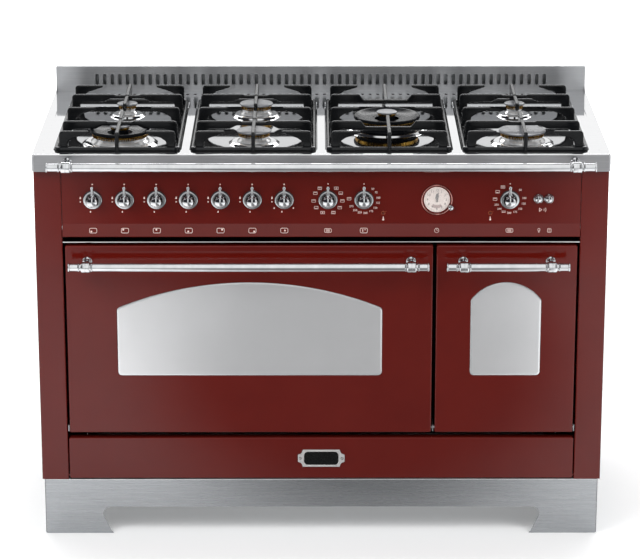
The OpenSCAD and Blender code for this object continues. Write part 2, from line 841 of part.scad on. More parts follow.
// Fan wheel with its shaft and eight blades
fan_d = cavity_back - wheel_gap - wheel_h;
blade_t = 2;
module oven_fan() {
    color(steel) place() {
        rod_y(main_fan_x, fan_d, fan_z, shaft_r, cavity_back + cavity_t + shaft_in_motor - fan_d);
        rod_y(main_fan_x, fan_d, fan_z, 3 * shaft_r, wheel_h);
        rod_y(main_fan_x, fan_d + wheel_h - blade_t, fan_z, fan_r, blade_t);
        for (i = [0:7]) translate([main_fan_x, fan_d, fan_z]) rotate([0, 45 * i, 0])
            block([fan_r * 0.45, 1, -blade_t / 2], [fan_r - 1, wheel_h - blade_t / 2, blade_t / 2]);
    }
}

// A wire shelf of square bars that rests on the ledges
wire = 4;
wire_step = 34;
rack_front_gap = 12;
rack_back_gap = 40;
module rack(span, level) {
    x0 = span[0] + rack_gap;
    x1 = span[1] - rack_gap;
    d0 = frame_d + sheet + rack_front_gap;
    d1 = cavity_back - rack_back_gap;
    z = rack_z[level];
    count = round((x1 - x0) / wire_step);
    step = (x1 - x0 - wire) / count;
    for (i = [0:count]) block([x0 + step * i, d0, z], [x0 + step * i + wire, d1, z + wire]);
    for (d = [d0, (d0 + d1) / 2, d1 - wire]) block([x0, d, z], [x1, d + wire, z + wire]);
}

module oven_racks() color(chrome) place() {
    rack(main_span(), 1);
    rack(small_span(), 0);
}

// Gas parts

// Manifold bar with its seven taps, and its feed to the inlet at the back
module gas_rail() {
    low = knob_z - manifold_s / 2;
    color(brass) place() {
        for (i = [0:6]) control_body(KNOB_X[i], tap_half_w, tap_half_h, tap_back);
        block([inlet_x - 12, tap_back, low], [KNOB_X[6] + 30, tap_back + manifold_s, low + manifold_s]);
        rod_y(inlet_x, tap_back + manifold_s, knob_z, feed_r, back_d - tap_back - manifold_s);
        rod_y(inlet_x, back_d, knob_z, inlet_r, inlet_l);
    }
}

module control_body(x, half_w, half_h, back) {
    difference() {
        block([x - half_w, panel_d + sheet, knob_z - half_h], [x + half_w, back, knob_z + half_h]);
        rod_y(x, panel_d, knob_z, spindle_r + run_gap, spindle_end + 2 - panel_d);
    }
}

// One supply pipe from each tap to its burner, stacked in a row behind the taps
module burner_pipes() {
    tap_d = tap_back - 12;
    color(alloy) place() for (i = [0:6]) {
        b = BURNERS[i];
        level = pipe_level + (2 * pipe_r + 1) * i;
        pipe_run([[KNOB_X[i], tap_d, knob_z - tap_half_h], [KNOB_X[i], tap_d, level],
                  [KNOB_X[i], pipe_row_d, level], [b.x, pipe_row_d, level], [b.x, b.y, level],
                  [b.x, b.y, cup_z - stem_l]], pipe_r);
    }
}

// Switch bodies behind the oven knobs and the two buttons
switch_half = 18;
key_half_w = 8;
key_half_h = 9;
bracket_half = button_r + 1.2;
module oven_switches() color(enamel) place() {
    for (i = [7:9]) control_body(KNOB_X[i], switch_half, switch_half, tap_back);
    for (x = BUTTON_X) translate([x, 0, button_z]) {
        block([-key_half_w, button_back + button_travel + 0.5, -key_half_h],
              [key_half_w, tap_back, key_half_h]);
        for (z = [-bracket_half - sheet, bracket_half])
            block([-key_half_w, panel_d + sheet, z], [key_half_w, tap_back, z + sheet]);
        block([-key_half_w, tap_back, -bracket_half - sheet],
              [key_half_w, tap_back + sheet, bracket_half + sheet]);
    }
}

// Burners

// Profile of one plain burner: base flange, waist and flared skirt
module cup_profile(cap_r, bore_r) {
    polygon([[bore_r, 0], [cap_r - 1, 0], [cap_r - 1, 2], [cap_r - 6, base_h], [cap_r - 4, cup_h],
             [bore_r, cup_h]]);
}

module burner_cups() {
    color(alloy) place() for (b = BURNERS) translate([b.x, b.y, cup_z]) {
        if (b[3] > 0) {
            rotate_extrude() cup_profile(b[2], b[3] - 3);
            cylinder(r = b[3] - 3, h = 3);
            cylinder(r = inner_cap_r - 4, h = cup_h + inner_rise);
        } else rotate_extrude() cup_profile(b[2], 0);
        translate([0, 0, -stem_l]) cylinder(r = burner_hole_r - 2, h = stem_l + 1);
    }
}

// Brass port rings on top of the skirts
module port_ring(outer, inner) difference() {
    cylinder(r = outer, h = ring_h);
    translate([0, 0, -1]) cylinder(r = inner, h = ring_h + 2);
}

module flame_rings() {
    color(brass) place() for (b = BURNERS) translate([b.x, b.y, cup_z + cup_h]) {
        port_ring(b[2] - 3.5, b[3] > 0 ? b[3] + 2 : b[2] - 9);
        if (b[3] > 0) translate([0, 0, inner_rise]) port_ring(inner_cap_r - 2.5, inner_cap_r - 8);
    }
}

// Caps: plain discs with a soft edge, or a dished ring round a small cap
module plain_cap(r) rotate_extrude()
    polygon([[0, 0], [r - 1.5, 0], [r, 1.5], [r, 2.5], [r - 1.5, 3.8], [r * 0.6, cap_h], [0, cap_h]]);

module ring_cap(r, hole) rotate_extrude()
    polygon([[hole, 0], [r - 1.5, 0], [r, 1.5], [r, 3], [r - 2, cap_h], [r - 7, cap_h], [hole + 4, 1.6],
             [hole, 1.6]]);

module burner_caps() {
    color(enamel) place() for (b = BURNERS) translate([b.x, b.y, cup_z + cup_h + ring_h]) {
        if (b[3] > 0) {
            ring_cap(b[2], b[3]);
            translate([0, 0, inner_rise]) plain_cap(inner_cap_r);
        } else plain_cap(b[2]);
    }
}

// Grates

// Half outline of a support finger, from its leg to its tip, drawn across and up
leg_x = grate_w / 2 - 10;
leg_w = 16;
module finger_outline() {
    polygon([[-leg_x, bar_z], [-leg_x, grate_top - 7], [-leg_x + 2, grate_top - 2], [-leg_x + 7, grate_top],
             [-finger_tip, grate_top], [-finger_tip, grate_top - 5], [-leg_x + 30, grate_top - 15],
             [-leg_x + leg_w + 4, grate_top - 22], [-leg_x + leg_w, bar_z]]);
}

// Half outline of a bridge that spans the grate, arched over the burner or dropped in the middle
arch_x = 45;
function bridge_top(dropped) = dropped
    ? [[-58, grate_top], [-48, grate_top - 12.5], [0, grate_top - 12.5]]
    : [[-30, grate_top], [-26, grate_top - 2], [0, grate_top - 2]];
function bridge_under(dropped) = dropped
    ? [[0, grate_top - 21], [-arch_x, grate_top - 21], [-leg_x + 30, grate_top - 19]]
    : [[0, grate_top - 10], [-arch_x + 8, grate_top - 10], [-arch_x - 6, grate_top - 17]];
module bridge_outline(dropped) {
    polygon(concat([[-leg_x, bar_z], [-leg_x, grate_top - 7], [-leg_x + 2, grate_top - 2],
                    [-leg_x + 7, grate_top]], bridge_top(dropped), bridge_under(dropped),
                   [[-leg_x + 24, grate_top - 18], [-leg_x + leg_w + 2, grate_top - 22],
                    [-leg_x + leg_w, bar_z]]));
}

// A cross plate at a distance from the grate's centre
module cross_plate(dy) upright(dy - plate_t / 2, plate_t) for (side = [0, 1]) mirror([side, 0]) children();

// The front end of the lengthwise bar: a hook in front of the low frame, up and back to its tip
module spine_outline(tip) {
    front = -grate_l / 2 - 6;
    polygon([[front, pan_z + 1.5], [front, grate_top - 6], [front + 5, grate_top], [tip, grate_top],
             [tip, grate_top - 9], [tip - 8, grate_top - 10], [front + 26, grate_top - 18],
             [front + 14, bar_top], [front + 14, pan_z + 1.5]]);
}

// A short piece of the lengthwise bar between the middle and a bridge
module spine_piece(from, to) sideways(-plate_t / 2, plate_t)
    polygon([[from, grate_top - 17], [from, grate_top], [to - 25, grate_top], [to - 22, grate_top - 2],
             [to, grate_top - 2], [to, grate_top - 10], [to - 38, grate_top - 10],
             [to - 46, grate_top - 17]]);

// A cast grate; the wok grate has dropped bridges and longer lengthwise fingers
wok_tip = 70;
module grate(i, wok) {
    half_w = grate_w / 2;
    half_l = grate_l / 2;
    in_w = half_w - frame_bar;
    in_l = half_l - frame_bar;
    tip = wok ? -wok_tip : -burner_dy + plate_t / 2;
    color(iron) place() translate([grate_x(i), grate_d, 0]) {
        difference() {
            block([-half_w, -half_l, bar_z], [half_w, half_l, bar_top]);
            block([-in_w, -in_l, bar_z - 1], [in_w, in_l, bar_top + 1]);
        }
        for (x = [-half_w + 14, half_w - 14], y = [-half_l + 5, half_l - 5])
            translate([x, y, pan_z]) cylinder(d = frame_bar - 2, h = grate_foot, $fn = 24);
        for (dy = [-finger_dy, 0, finger_dy]) cross_plate(dy) finger_outline();
        for (dy = [-burner_dy, burner_dy]) cross_plate(dy) bridge_outline(wok);
        for (side = [0, 1]) mirror([0, side, 0]) {
            sideways(-plate_t / 2, plate_t) spine_outline(tip);
            if (!wok) mirror([0, 1, 0]) spine_piece(33, burner_dy);
        }
    }
}

// Knobs

// A knob with its pointer lever up and its spindle into the tap or switch
hub_gap = 2.5;
lever_out = 6;
lever_t = 7;
module pointer_knob(x) {
    color(chrome) place() {
        translate([x, panel_d - hub_gap, knob_z]) rotate([90, 0, 0]) {
            cylinder(r = hub_r, h = hub_l - hub_r);
            translate([0, 0, hub_l - hub_r]) sphere(r = hub_r);
            translate([0, 0, lever_out]) linear_extrude(lever_t) polygon([
                [-lever_w / 2, 0], [lever_w / 2, 0], [lever_w / 2, lever_l * 0.6], [lever_tip_w / 2, lever_l],
                [-lever_tip_w / 2, lever_l], [-lever_w / 2, lever_l * 0.6]]);
        }
        rod_y(x, panel_d - hub_gap - 1, knob_z, spindle_r, spindle_end - panel_d + hub_gap + 1);
    }
}

// Dished rosettes behind the knobs
module knob_rosettes() {
    color(chrome) place() for (x = KNOB_X) translate([x, panel_d, knob_z]) rotate([90, 0, 0]) rotate_extrude()
        polygon([[spindle_r + 1, 0], [rosette_r, 0], [rosette_r, 2], [rosette_r - 2, 4], [rosette_r - 3.5, 4],
                 [rosette_r - 6, 1.8], [spindle_r + 1, 1.8]]);
}

// Clock

// Movement behind the panel, with the dial, the arbor of the hands and the bore of the setting knob
arbor_r = 1.2;
clock_stem_r = 2.4;
module clock_movement() {
    back = panel_d + sheet;
    color([0.9, 0.86, 0.78]) place() difference() {
        union() {
            rod_y(clock_x, back, clock_z, dial_r + 2, 24);
            rod_y(clock_knob_at.x, back, clock_knob_at.y, 6, 14);
            rod_y(clock_x, panel_d, clock_z, dial_r, sheet);
            rod_y(clock_x, panel_d - arbor_l, clock_z, arbor_r, arbor_l);
        }
        rod_y(clock_knob_at.x, back - 1, clock_knob_at.y, clock_stem_r + run_gap, 12);
    }
}

// Chrome bezel with a notch for the setting knob's stem
arbor_l = 3 * hand_gap + 2 * hand_t;
bezel_h = 3;
module clock_bezel() color(chrome) place() difference() {
    translate([clock_x, panel_d, clock_z]) rotate([90, 0, 0]) rotate_extrude()
        polygon([[dial_r + 0.3, 0], [dial_r + bezel_w, 0], [dial_r + bezel_w, bezel_h - 1],
                 [dial_r + bezel_w - 1, bezel_h], [dial_r + bezel_w - 2.2, bezel_h], [dial_r + 1.5, 1],
                 [dial_r + 0.3, 1]]);
    rod_y(clock_knob_at.x, panel_d - bezel_h - 1, clock_knob_at.y, clock_stem_r + 0.6, bezel_h + 2);
}

// Low glass dome that stands on the dial, over the hands
dome_rise = 6;
module clock_glass() color([0.8, 0.85, 0.88, 0.4]) place()
    translate([clock_x, panel_d, clock_z]) rotate([90, 0, 0]) rotate_extrude()
        polygon([[dial_r - 1, 0], [dial_r, 0], [dial_r, 2], [dial_r - 3, 4.3], [dial_r * 0.6, 5.5],
                 [0, dome_rise], [0, dome_rise - 1], [dial_r * 0.6, 4.5], [dial_r - 3.6, 3.4],
                 [dial_r - 1, 2]]);

// A pointed hand that turns on the arbor, at a distance in front of the dial
module hand(ahead, length, w) place() translate([clock_x, panel_d - ahead, clock_z]) rotate([90, 0, 0])
    linear_extrude(hand_t) difference() {
        union() {
            polygon([[-w / 2, -5], [w / 2, -5], [w * 0.75, length * 0.45], [0, length],
                     [-w * 0.75, length * 0.45]]);
            circle(r = 2.4, $fn = 24);
        }
        circle(r = arbor_r + run_gap);
    }

module hour_hand() color("black") hand(hand_gap, 13, 2);
module minute_hand() color("black") hand(2 * hand_gap + hand_t, 18.5, 1.5);

module clock_knob() {
    color(chrome) place() {
        translate([clock_knob_at.x, panel_d - bezel_h - 0.5, clock_knob_at.y]) rotate([90, 0, 0])
            rotate_extrude()
            polygon([[0, 0], [3.2, 0], [5.5, 2], [5.5, 5], [4.6, 7.2], [2.5, 8.6], [0, 9]]);
        rod_y(clock_knob_at.x, panel_d - bezel_h - 1, clock_knob_at.y, clock_stem_r, bezel_h + 11);
    }
}

// A domed push button that slides in the panel's hole
button_back = panel_d + 13;
module push_button(x) {
    color(chrome) place() translate([x, button_back, button_z]) rotate([90, 0, 0]) rotate_extrude()
        polygon([[0, 0], [button_r, 0], [button_r, 17], [button_r * 0.86, 20.5],
                 [button_r * 0.5, 23.4], [0, 24.4]]);
}

module pilot_lenses() color([0.9, 0.5, 0.2]) place() for (x = PILOT_X)
    rod_y(x, panel_d - 1, pilot_z, pilot_r, 12);

// What is drawn
side_panel_left();
side_panel_right();
rear_cover();
base_tray();
front_frame();
plinth();
levelling_feet();
control_panel();
trim_strip();
hob_top();
backsplash();
towel_rail();
main_cavity();
small_cavity();
oven_elements();
fan_motor();
oven_racks();
storage_box();
gas_rail();
burner_pipes();
oven_switches();
clock_movement();
clock_bezel();
clock_glass();
pilot_lenses();
knob_rosettes();
burner_cups();
flame_rings();
burner_caps();
door_hinges();
main_door();
main_window();
main_inner_glass();
main_handle();
small_door();
small_window();
small_inner_glass();
small_handle();
storage_flap();
badge_plate();
pointer_knob(KNOB_X[0]);  // burner_knob_1
pointer_knob(KNOB_X[1]);  // burner_knob_2
pointer_knob(KNOB_X[2]);  // burner_knob_3
pointer_knob(KNOB_X[3]);  // burner_knob_4
pointer_knob(KNOB_X[4]);  // burner_knob_5
pointer_knob(KNOB_X[5]);  // burner_knob_6
pointer_knob(KNOB_X[6]);  // burner_knob_7
pointer_knob(KNOB_X[7]);  // main_oven_selector
pointer_knob(KNOB_X[8]);  // main_oven_thermostat
pointer_knob(KNOB_X[9]);  // small_oven_knob
hour_hand();
minute_hand();
clock_knob();
push_button(BUTTON_X[0]);  // light_button
push_button(BUTTON_X[1]);  // timer_button
grate(0, false);  // grate_1
grate(1, false);  // grate_2
grate(2, true);  // grate_3
grate(3, false);  // grate_4
oven_fan();
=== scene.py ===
import math

import bmesh
import bpy
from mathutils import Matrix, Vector


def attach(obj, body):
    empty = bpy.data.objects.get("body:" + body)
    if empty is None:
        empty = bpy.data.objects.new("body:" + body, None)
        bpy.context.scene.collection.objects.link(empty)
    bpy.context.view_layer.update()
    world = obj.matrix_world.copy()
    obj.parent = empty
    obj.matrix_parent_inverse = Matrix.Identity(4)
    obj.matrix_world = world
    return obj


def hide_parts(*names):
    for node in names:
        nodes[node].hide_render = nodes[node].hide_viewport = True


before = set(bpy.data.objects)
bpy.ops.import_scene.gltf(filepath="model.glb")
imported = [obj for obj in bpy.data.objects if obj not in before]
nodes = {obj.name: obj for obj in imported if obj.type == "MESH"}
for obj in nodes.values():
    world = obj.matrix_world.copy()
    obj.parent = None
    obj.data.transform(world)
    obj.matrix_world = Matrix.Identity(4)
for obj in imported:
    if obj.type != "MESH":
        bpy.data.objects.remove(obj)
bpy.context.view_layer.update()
scene = bpy.context.scene

MM = 0.001
DEPTH_MID = 271.5      # the depth that lies at Y = 0

# Main sizes of the part, in millimetres; depth is counted backwards from the front edge of the hob
HOB_X, HOB_D = 600.0, 600.0
BODY_X, OPEN_X, PANEL_X, PLINTH_X = 599.0, 542.0, 541.5, 594.5
PLINTH_H, SKIRT_Z, HOB_Z, PAN_Z = 126.0, 813.0, 850.0, 842.0
LAND_Z, BASIN_HALF, BASIN_FRONT, BASIN_BACK, GRATE_PITCH = 849.5, 133.0, 21.0, 490.0, 283.0
FRONT_D, FRAME_D, BACK_D = 18.0, 64.0, 577.0
PANEL_D, FOLD_Z, PANEL_Z, STRIP_OUT = 20.0, 695.5, 668.0, 6.0
KNOB_Z = 747.5
KNOB_X = [-477 + 66.6 * i for i in range(7)] + [14.0, 89.0, 393.5]
KNOB_BODIES = ["burner_knob_%d" % (i + 1) for i in range(7)] + [
    "main_oven_selector", "main_oven_thermostat", "small_oven_knob"]
CLOCK_X = 241.25
CROWN_X, CROWN_Z = CLOCK_X + 28.9, KNOB_Z - 15.5
BUTTONS, BUTTON_Z = [("light_button", 453.0), ("timer_button", 475.0)], KNOB_Z + 2
LAMP_X, LAMP_Z = (129.5, 353.0), KNOB_Z - 29
STRIP_Z = 681.5         # middle height of the marks on the leaning strip
MARK_D, DIAL_D = (19.86, 20.05), (19.5, 19.72)      # depths of the raised print
DOOR_Z, DOOR_TOP, DOOR_D = 233.5, 648.5, 15.0
WINDOW_Z, WINDOW_H, HANDLE_Z, RAIL_Z, BURNER_Z = 361.5, 207.0, 615.0, 833.35, 846.5
VENTS = [(i - 29.5) * 17.14 for i in range(60)]
MAIN_X0, MAIN_X1, SMALL_X0, SMALL_X1 = -537.0, 234.5, 242.0, 537.0
BURNERS = [  # place across, depth, cap radius, radius of the opening in the cap
    (-424.5, 376, 22.5, 0), (-424.5, 130, 62.5, 31), (-141.5, 376, 36.5, 0), (-141.5, 130, 36.5, 0),
    (141.5, 253, 71, 31), (424.5, 376, 22.5, 0), (424.5, 130, 49.5, 0)]


# Forms

def place(plane, u, v, w):
    """A point (x, depth, z) from a drawing's across, up and thickness values."""
    if plane == "front":
        return u, w, v
    if plane == "side":
        return w, u, v
    return u, v, w


def lathe(bm, profile, at, axis="up", n=64, closed=False, ribs=None):
    """A turned form: (radius, height) pairs round an axis through a point (x, depth, z).
    ribs gives their number and depth, and the heights between which they stand."""
    way = Vector({"up": (0, 0, 1), "front": (0, -1, 0), "back": (0, 1, 0), "right": (1, 0, 0),
                  "left": (-1, 0, 0)}[axis])
    e1 = Vector((0, 0, 1)) if abs(way.z) < 0.5 else Vector((1, 0, 0))
    e2 = way.cross(e1)
    at = Vector(at)
    rings = []
    for r, h in profile:
        ring = []
        for i in range(n if r > 1e-6 else 1):
            t = 2 * math.pi * i / n
            q = r + (ribs[1] * (math.cos(ribs[0] * t) - 1) if ribs and ribs[2] < h < ribs[3] else 0)
            ring.append(bm.verts.new(at + way * h + e1 * (q * math.cos(t)) + e2 * (q * math.sin(t))))
        rings.append(ring)
    pairs = list(zip(rings, rings[1:])) + ([(rings[-1], rings[0])] if closed else [])
    for a, b in pairs:
        for i in range(n):
            j = (i + 1) % n
            face = list(dict.fromkeys([a[i % len(a)], a[j % len(a)], b[j % len(b)], b[i % len(b)]]))
            if len(face) > 2:
                bm.faces.new(face)


def draft(data):
    obj = bpy.data.objects.new("draft", data)
    scene.collection.objects.link(obj)
    return obj


def shown(obj):
    """The mesh of an object with its bevels and modifiers done."""
    return bpy.data.meshes.new_from_object(obj.evaluated_get(bpy.context.evaluated_depsgraph_get()))


def add_curve(bm, curve, dist, move):
    """Adds the mesh of a curve or text, its doubles joined within a distance and its points moved."""
    holder = draft(curve)
    mesh = shown(holder)
    part = bmesh.new()
    part.from_mesh(mesh)
    bmesh.ops.remove_doubles(part, verts=part.verts, dist=dist)
    for v in part.verts:
        v.co = move(v.co)
    part.to_mesh(mesh)
    part.free()
    bm.from_mesh(mesh)
    bpy.data.objects.remove(holder)
    bpy.data.curves.remove(curve)
    bpy.data.meshes.remove(mesh)


def slab(bm, loops, a, b, plane="front", bevel=0.0, steps=3):
    """A plate from outlines (the first is the outer one, the others are openings), with soft edges."""
    curve = bpy.data.curves.new("draft", "CURVE")
    curve.dimensions = "2D"
    curve.fill_mode = "BOTH"
    curve.bevel_depth = bevel
    curve.bevel_resolution = steps
    curve.offset = -bevel
    curve.extrude = max(abs(b - a) / 2 - bevel, 0.0)
    for loop in loops:
        spline = curve.splines.new("POLY")
        spline.points.add(len(loop) - 1)
        for point, (u, v) in zip(spline.points, loop):
            point.co = (u, v, 0, 1)
        spline.use_cyclic_u = True
    add_curve(bm, curve, 0.004, lambda co: place(plane, co.x, co.y, co.z + (a + b) / 2))


def letters(bm, text, u, v, size, w0, w1):
    """Plain figures, as thin raised print on a front face."""
    curve = bpy.data.curves.new("draft", "FONT")
    curve.body, curve.size, curve.align_x, curve.align_y = text, size, "CENTER", "CENTER"
    curve.extrude, curve.resolution_u = (w1 - w0) / 2, 2
    curve.offset = size * 0.012
    add_curve(bm, curve, 0.0005, lambda co: (u + co.x, co.z + (w0 + w1) / 2, v + co.y))


def brick(bm, low, high, r=0.0, steps=2):
    """A block with rounded edges, from its low and high corners (x, depth, z)."""
    part = bmesh.new()
    bmesh.ops.create_cube(part, size=1)
    low, high = Vector(low), Vector(high)
    for v in part.verts:
        v.co = [(low[k] + high[k]) / 2 + v.co[k] * (high[k] - low[k]) for k in range(3)]
    if r:
        bmesh.ops.bevel(part, geom=part.edges[:], offset=r, segments=steps, profile=0.5, affect="EDGES")
    mesh = bpy.data.meshes.new("draft")
    part.to_mesh(mesh)
    part.free()
    bm.from_mesh(mesh)
    bpy.data.meshes.remove(mesh)


def pipe(bm, points, r, n=16):
    """A round bar along points (x, depth, z), closed at both ends."""
    points = [Vector(p) for p in points]
    side = (points[1] - points[0]).normalized().orthogonal().normalized()
    rings = []
    for i, p in enumerate(points):
        ahead = (points[min(i + 1, len(points) - 1)] - points[max(i - 1, 0)]).normalized()
        side = (side - ahead * side.dot(ahead)).normalized()
        up = ahead.cross(side)
        rings.append([bm.verts.new(p + side * u + up * v) for u, v in circle(0, 0, r, n)])
    for a, b in zip(rings, rings[1:]):
        for k in range(n):
            bm.faces.new([a[k], a[(k + 1) % n], b[(k + 1) % n], b[k]])
    bm.faces.new(rings[0])
    bm.faces.new(rings[-1])


def skin(bm, loops):
    """Bands of faces between loops of equal length, each a ring of (x, depth, z)."""
    rings = [[bm.verts.new(p) for p in loop] for loop in loops]
    for a, b in zip(rings, rings[1:]):
        n = len(a)
        for i in range(n):
            bm.faces.new([a[i], a[(i + 1) % n], b[(i + 1) % n], b[i]])
    return rings


def fill(bm, rings):
    """A flat sheet between rings of existing vertices; the first is the outer one."""
    edges = []
    for ring in rings:
        for i in range(len(ring)):
            a, b = ring[i], ring[(i + 1) % len(ring)]
            edges.append(bm.edges.get((a, b)) or bm.edges.new((a, b)))
    return bmesh.ops.triangle_fill(bm, use_beauty=True, edges=edges)


def arc(cx, cy, r, start, stop, step, ry=None):
    """Points on a circle, or on an oval of two radii, by whole degrees."""
    ry = r if ry is None else ry
    turns = [math.radians(a) for a in range(start, stop, step)]
    return [(cx + r * math.cos(t), cy + ry * math.sin(t)) for t in turns]


def rounded(x0, y0, x1, y1, r, n=8):
    """A rectangle with round corners."""
    out = []
    corners = ((x1 - r, y1 - r), (x0 + r, y1 - r), (x0 + r, y0 + r), (x1 - r, y0 + r))
    for quarter, (cx, cy) in enumerate(corners):
        for i in range(n + 1):
            t = math.radians(90 * quarter + 90 * i / n)
            out.append((cx + r * math.cos(t), cy + r * math.sin(t)))
    return out


def circle(cx, cy, r, n=48):
    turns = [2 * math.pi * i / n for i in range(n)]
    return [(cx + r * math.cos(t), cy + r * math.sin(t)) for t in turns]


def soften(points, r, n=4):
    """A polygon with its corners rounded to radius r, or less where its sides are short."""
    out = []
    count = len(points)
    for i in range(count):
        p, a, b = Vector(points[i]), Vector(points[i - 1]), Vector(points[(i + 1) % count])
        u, v = a - p, b - p
        lu, lv = u.length, v.length
        u.normalize()
        v.normalize()
        angle = math.acos(max(-1, min(1, u.dot(v))))
        if angle > math.radians(172):
            out.append(tuple(p))
            continue
        cut = min(r / math.tan(angle / 2), lu * 0.45, lv * 0.45)
        s, e = p + u * cut, p + v * cut
        for k in range(n + 1):
            t = k / n
            out.append(tuple(s * (1 - t) ** 2 + p * (2 * t * (1 - t)) + e * t ** 2))
    return out


def arch(cx, z0, w, side_h, h, grow=0.0, n=40):
    """A window's outline, grown by an amount: straight sides under a segment of a circle."""
    rise = h - side_h
    r = (w * w / 4 + rise * rise) / (2 * rise)
    mid = z0 + h - r
    r, w, z0 = r + grow, w + 2 * grow, z0 - grow
    half = math.asin(w / 2 / r)
    out = [(cx - w / 2, z0), (cx + w / 2, z0)]
    for i in range(n + 1):
        t = half - 2 * half * i / n
        out.append((cx + r * math.sin(t), mid + r * math.cos(t)))
    return out


def cut(bm, tools):
    """Takes the closed forms of one mesh out of another."""
    objs = []
    for source in (bm, tools):
        bmesh.ops.recalc_face_normals(source, faces=source.faces)
        mesh = bpy.data.meshes.new("draft")
        source.to_mesh(mesh)
        objs.append(draft(mesh))
    mod = objs[0].modifiers.new("cut", "BOOLEAN")
    mod.object, mod.operation, mod.solver = objs[1], "DIFFERENCE", "EXACT"
    mesh = shown(objs[0])
    bm.clear()
    bm.from_mesh(mesh)
    tools.free()
    for data in [mesh] + [obj.data for obj in objs]:
        bpy.data.meshes.remove(data)


def piece(name, bm, body, material, replaces=(), angle=32, weighted=True, solid=0.0):
    """Makes the object, in metres, gives it its finish and lets it ride on a body."""
    bmesh.ops.recalc_face_normals(bm, faces=bm.faces)
    for v in bm.verts:
        v.co = Vector((v.co.x, v.co.y - DEPTH_MID, v.co.z)) * MM
    sharp = math.radians(angle)
    for f in bm.faces:
        f.smooth = True
    for e in bm.edges:
        e.smooth = len(e.link_faces) == 2 and e.calc_face_angle(0) < sharp
    mesh = bpy.data.meshes.new(name)
    bm.to_mesh(mesh)
    bm.free()
    mesh.materials.append(material)
    obj = bpy.data.objects.new(name, mesh)
    scene.collection.objects.link(obj)
    if solid:
        mod = obj.modifiers.new("sheet", "SOLIDIFY")
        mod.thickness, mod.offset = solid * MM, -1
    if weighted:
        mod = obj.modifiers.new("normals", "WEIGHTED_NORMAL")
        mod.mode = "FACE_AREA"
        mod.keep_sharp = True
    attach(obj, body)
    if replaces:
        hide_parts(*replaces)
    return obj


# Materials

def srgb(r, g, b):
    """A colour as written on a screen, turned into a light value."""
    parts = [c / 255 for c in (r, g, b)]
    return tuple(((c + 0.055) / 1.055) ** 2.4 if c > 0.04 else c / 12.92 for c in parts) + (1.0,)


def math_node(tree, operation, a, b):
    """A math node on two values, each a number or a socket."""
    node = tree.nodes.new("ShaderNodeMath")
    node.operation = operation
    for socket, value in zip(node.inputs, (a, b)):
        if isinstance(value, (int, float)):
            socket.default_value = value
        else:
            tree.links.new(value, socket)
    return node.outputs[0]


def mixed(tree, factor, a, b):
    """Mixes two colours, each a constant or a socket."""
    node = tree.nodes.new("ShaderNodeMix")
    node.data_type = "RGBA"
    tree.links.new(factor, node.inputs["Factor"])
    for name, value in (("A", a), ("B", b)):
        if isinstance(value, tuple):
            node.inputs[name].default_value = value
        else:
            tree.links.new(value, node.inputs[name])
    return node.outputs["Result"]


def map_range(tree, value, low, high, to=(0, 1), soft=False):
    """Turns the stretch between two values into another stretch, with soft ends if asked."""
    node = tree.nodes.new("ShaderNodeMapRange")
    node.interpolation_type = "SMOOTHSTEP" if soft else "LINEAR"
    ends = (("From Min", low), ("From Max", high), ("To Min", to[0]), ("To Max", to[1]))
    for name, end in ends:
        node.inputs[name].default_value = end
    tree.links.new(value, node.inputs["Value"])
    return node.outputs["Result"]


def noise(tree, vector, scale, detail=4.0):
    node = tree.nodes.new("ShaderNodeTexNoise")
    node.inputs["Scale"].default_value = scale
    node.inputs["Detail"].default_value = detail
    node.inputs["Roughness"].default_value = 0.55
    tree.links.new(vector, node.inputs["Vector"])
    return node.outputs["Fac"]


def finish(name, tones, rough, grain=40.0, stretch=(1, 1, 1), bump=0.0, bump_grain=None, edge=None,
           low=None, **fixed):
    """A surface whose colour, gloss and relief vary with the place on the part. edge is a colour for
    worn edges, partly wear and partly a painted highlight; low gives two heights in metres and the
    darker colour under them, a painted shade."""
    mat = bpy.data.materials.new(name)
    mat.use_nodes = True
    tree = mat.node_tree
    shader = tree.nodes["Principled BSDF"]
    for key, value in fixed.items():
        shader.inputs[key.replace("_", " ")].default_value = value
    coords = tree.nodes.new("ShaderNodeTexCoord")
    mapping = tree.nodes.new("ShaderNodeMapping")
    mapping.inputs["Scale"].default_value = stretch
    tree.links.new(coords.outputs["Object"], mapping.inputs["Vector"])
    vector = mapping.outputs["Vector"]
    ramp = tree.nodes.new("ShaderNodeValToRGB")
    for stop, position, tone in zip(ramp.color_ramp.elements, (0.3, 0.7), tones):
        stop.position, stop.color = position, srgb(*tone)
    tree.links.new(noise(tree, vector, grain), ramp.inputs["Fac"])
    color = ramp.outputs["Color"]
    # Sharp edges get the edge colour: partly wear, partly a painted highlight.
    if edge:
        shape = tree.nodes.new("ShaderNodeNewGeometry")
        wear_and_highlight = map_range(tree, shape.outputs["Pointiness"], 0.52, 0.6, (0, 0.6))
        color = mixed(tree, wear_and_highlight, color, srgb(*edge))
    # Under a height the colour turns darker: painted shade.
    if low:
        z0, z1, tone = low
        axes = tree.nodes.new("ShaderNodeSeparateXYZ")
        tree.links.new(coords.outputs["Object"], axes.inputs[0])
        color = mixed(tree, map_range(tree, axes.outputs["Z"], z0, z1), srgb(*tone), color)
    tree.links.new(color, shader.inputs["Base Color"])
    gloss = map_range(tree, noise(tree, vector, grain * 1.7, 3.0), 0.3, 0.7, rough)
    tree.links.new(gloss, shader.inputs["Roughness"])
    if bump:
        relief = tree.nodes.new("ShaderNodeBump")
        relief.inputs["Strength"].default_value = bump
        relief.inputs["Distance"].default_value = 0.0004
        tree.links.new(noise(tree, vector, bump_grain or grain * 3, 3.0), relief.inputs["Height"])
        tree.links.new(relief.outputs["Normal"], shader.inputs["Normal"])
    return mat


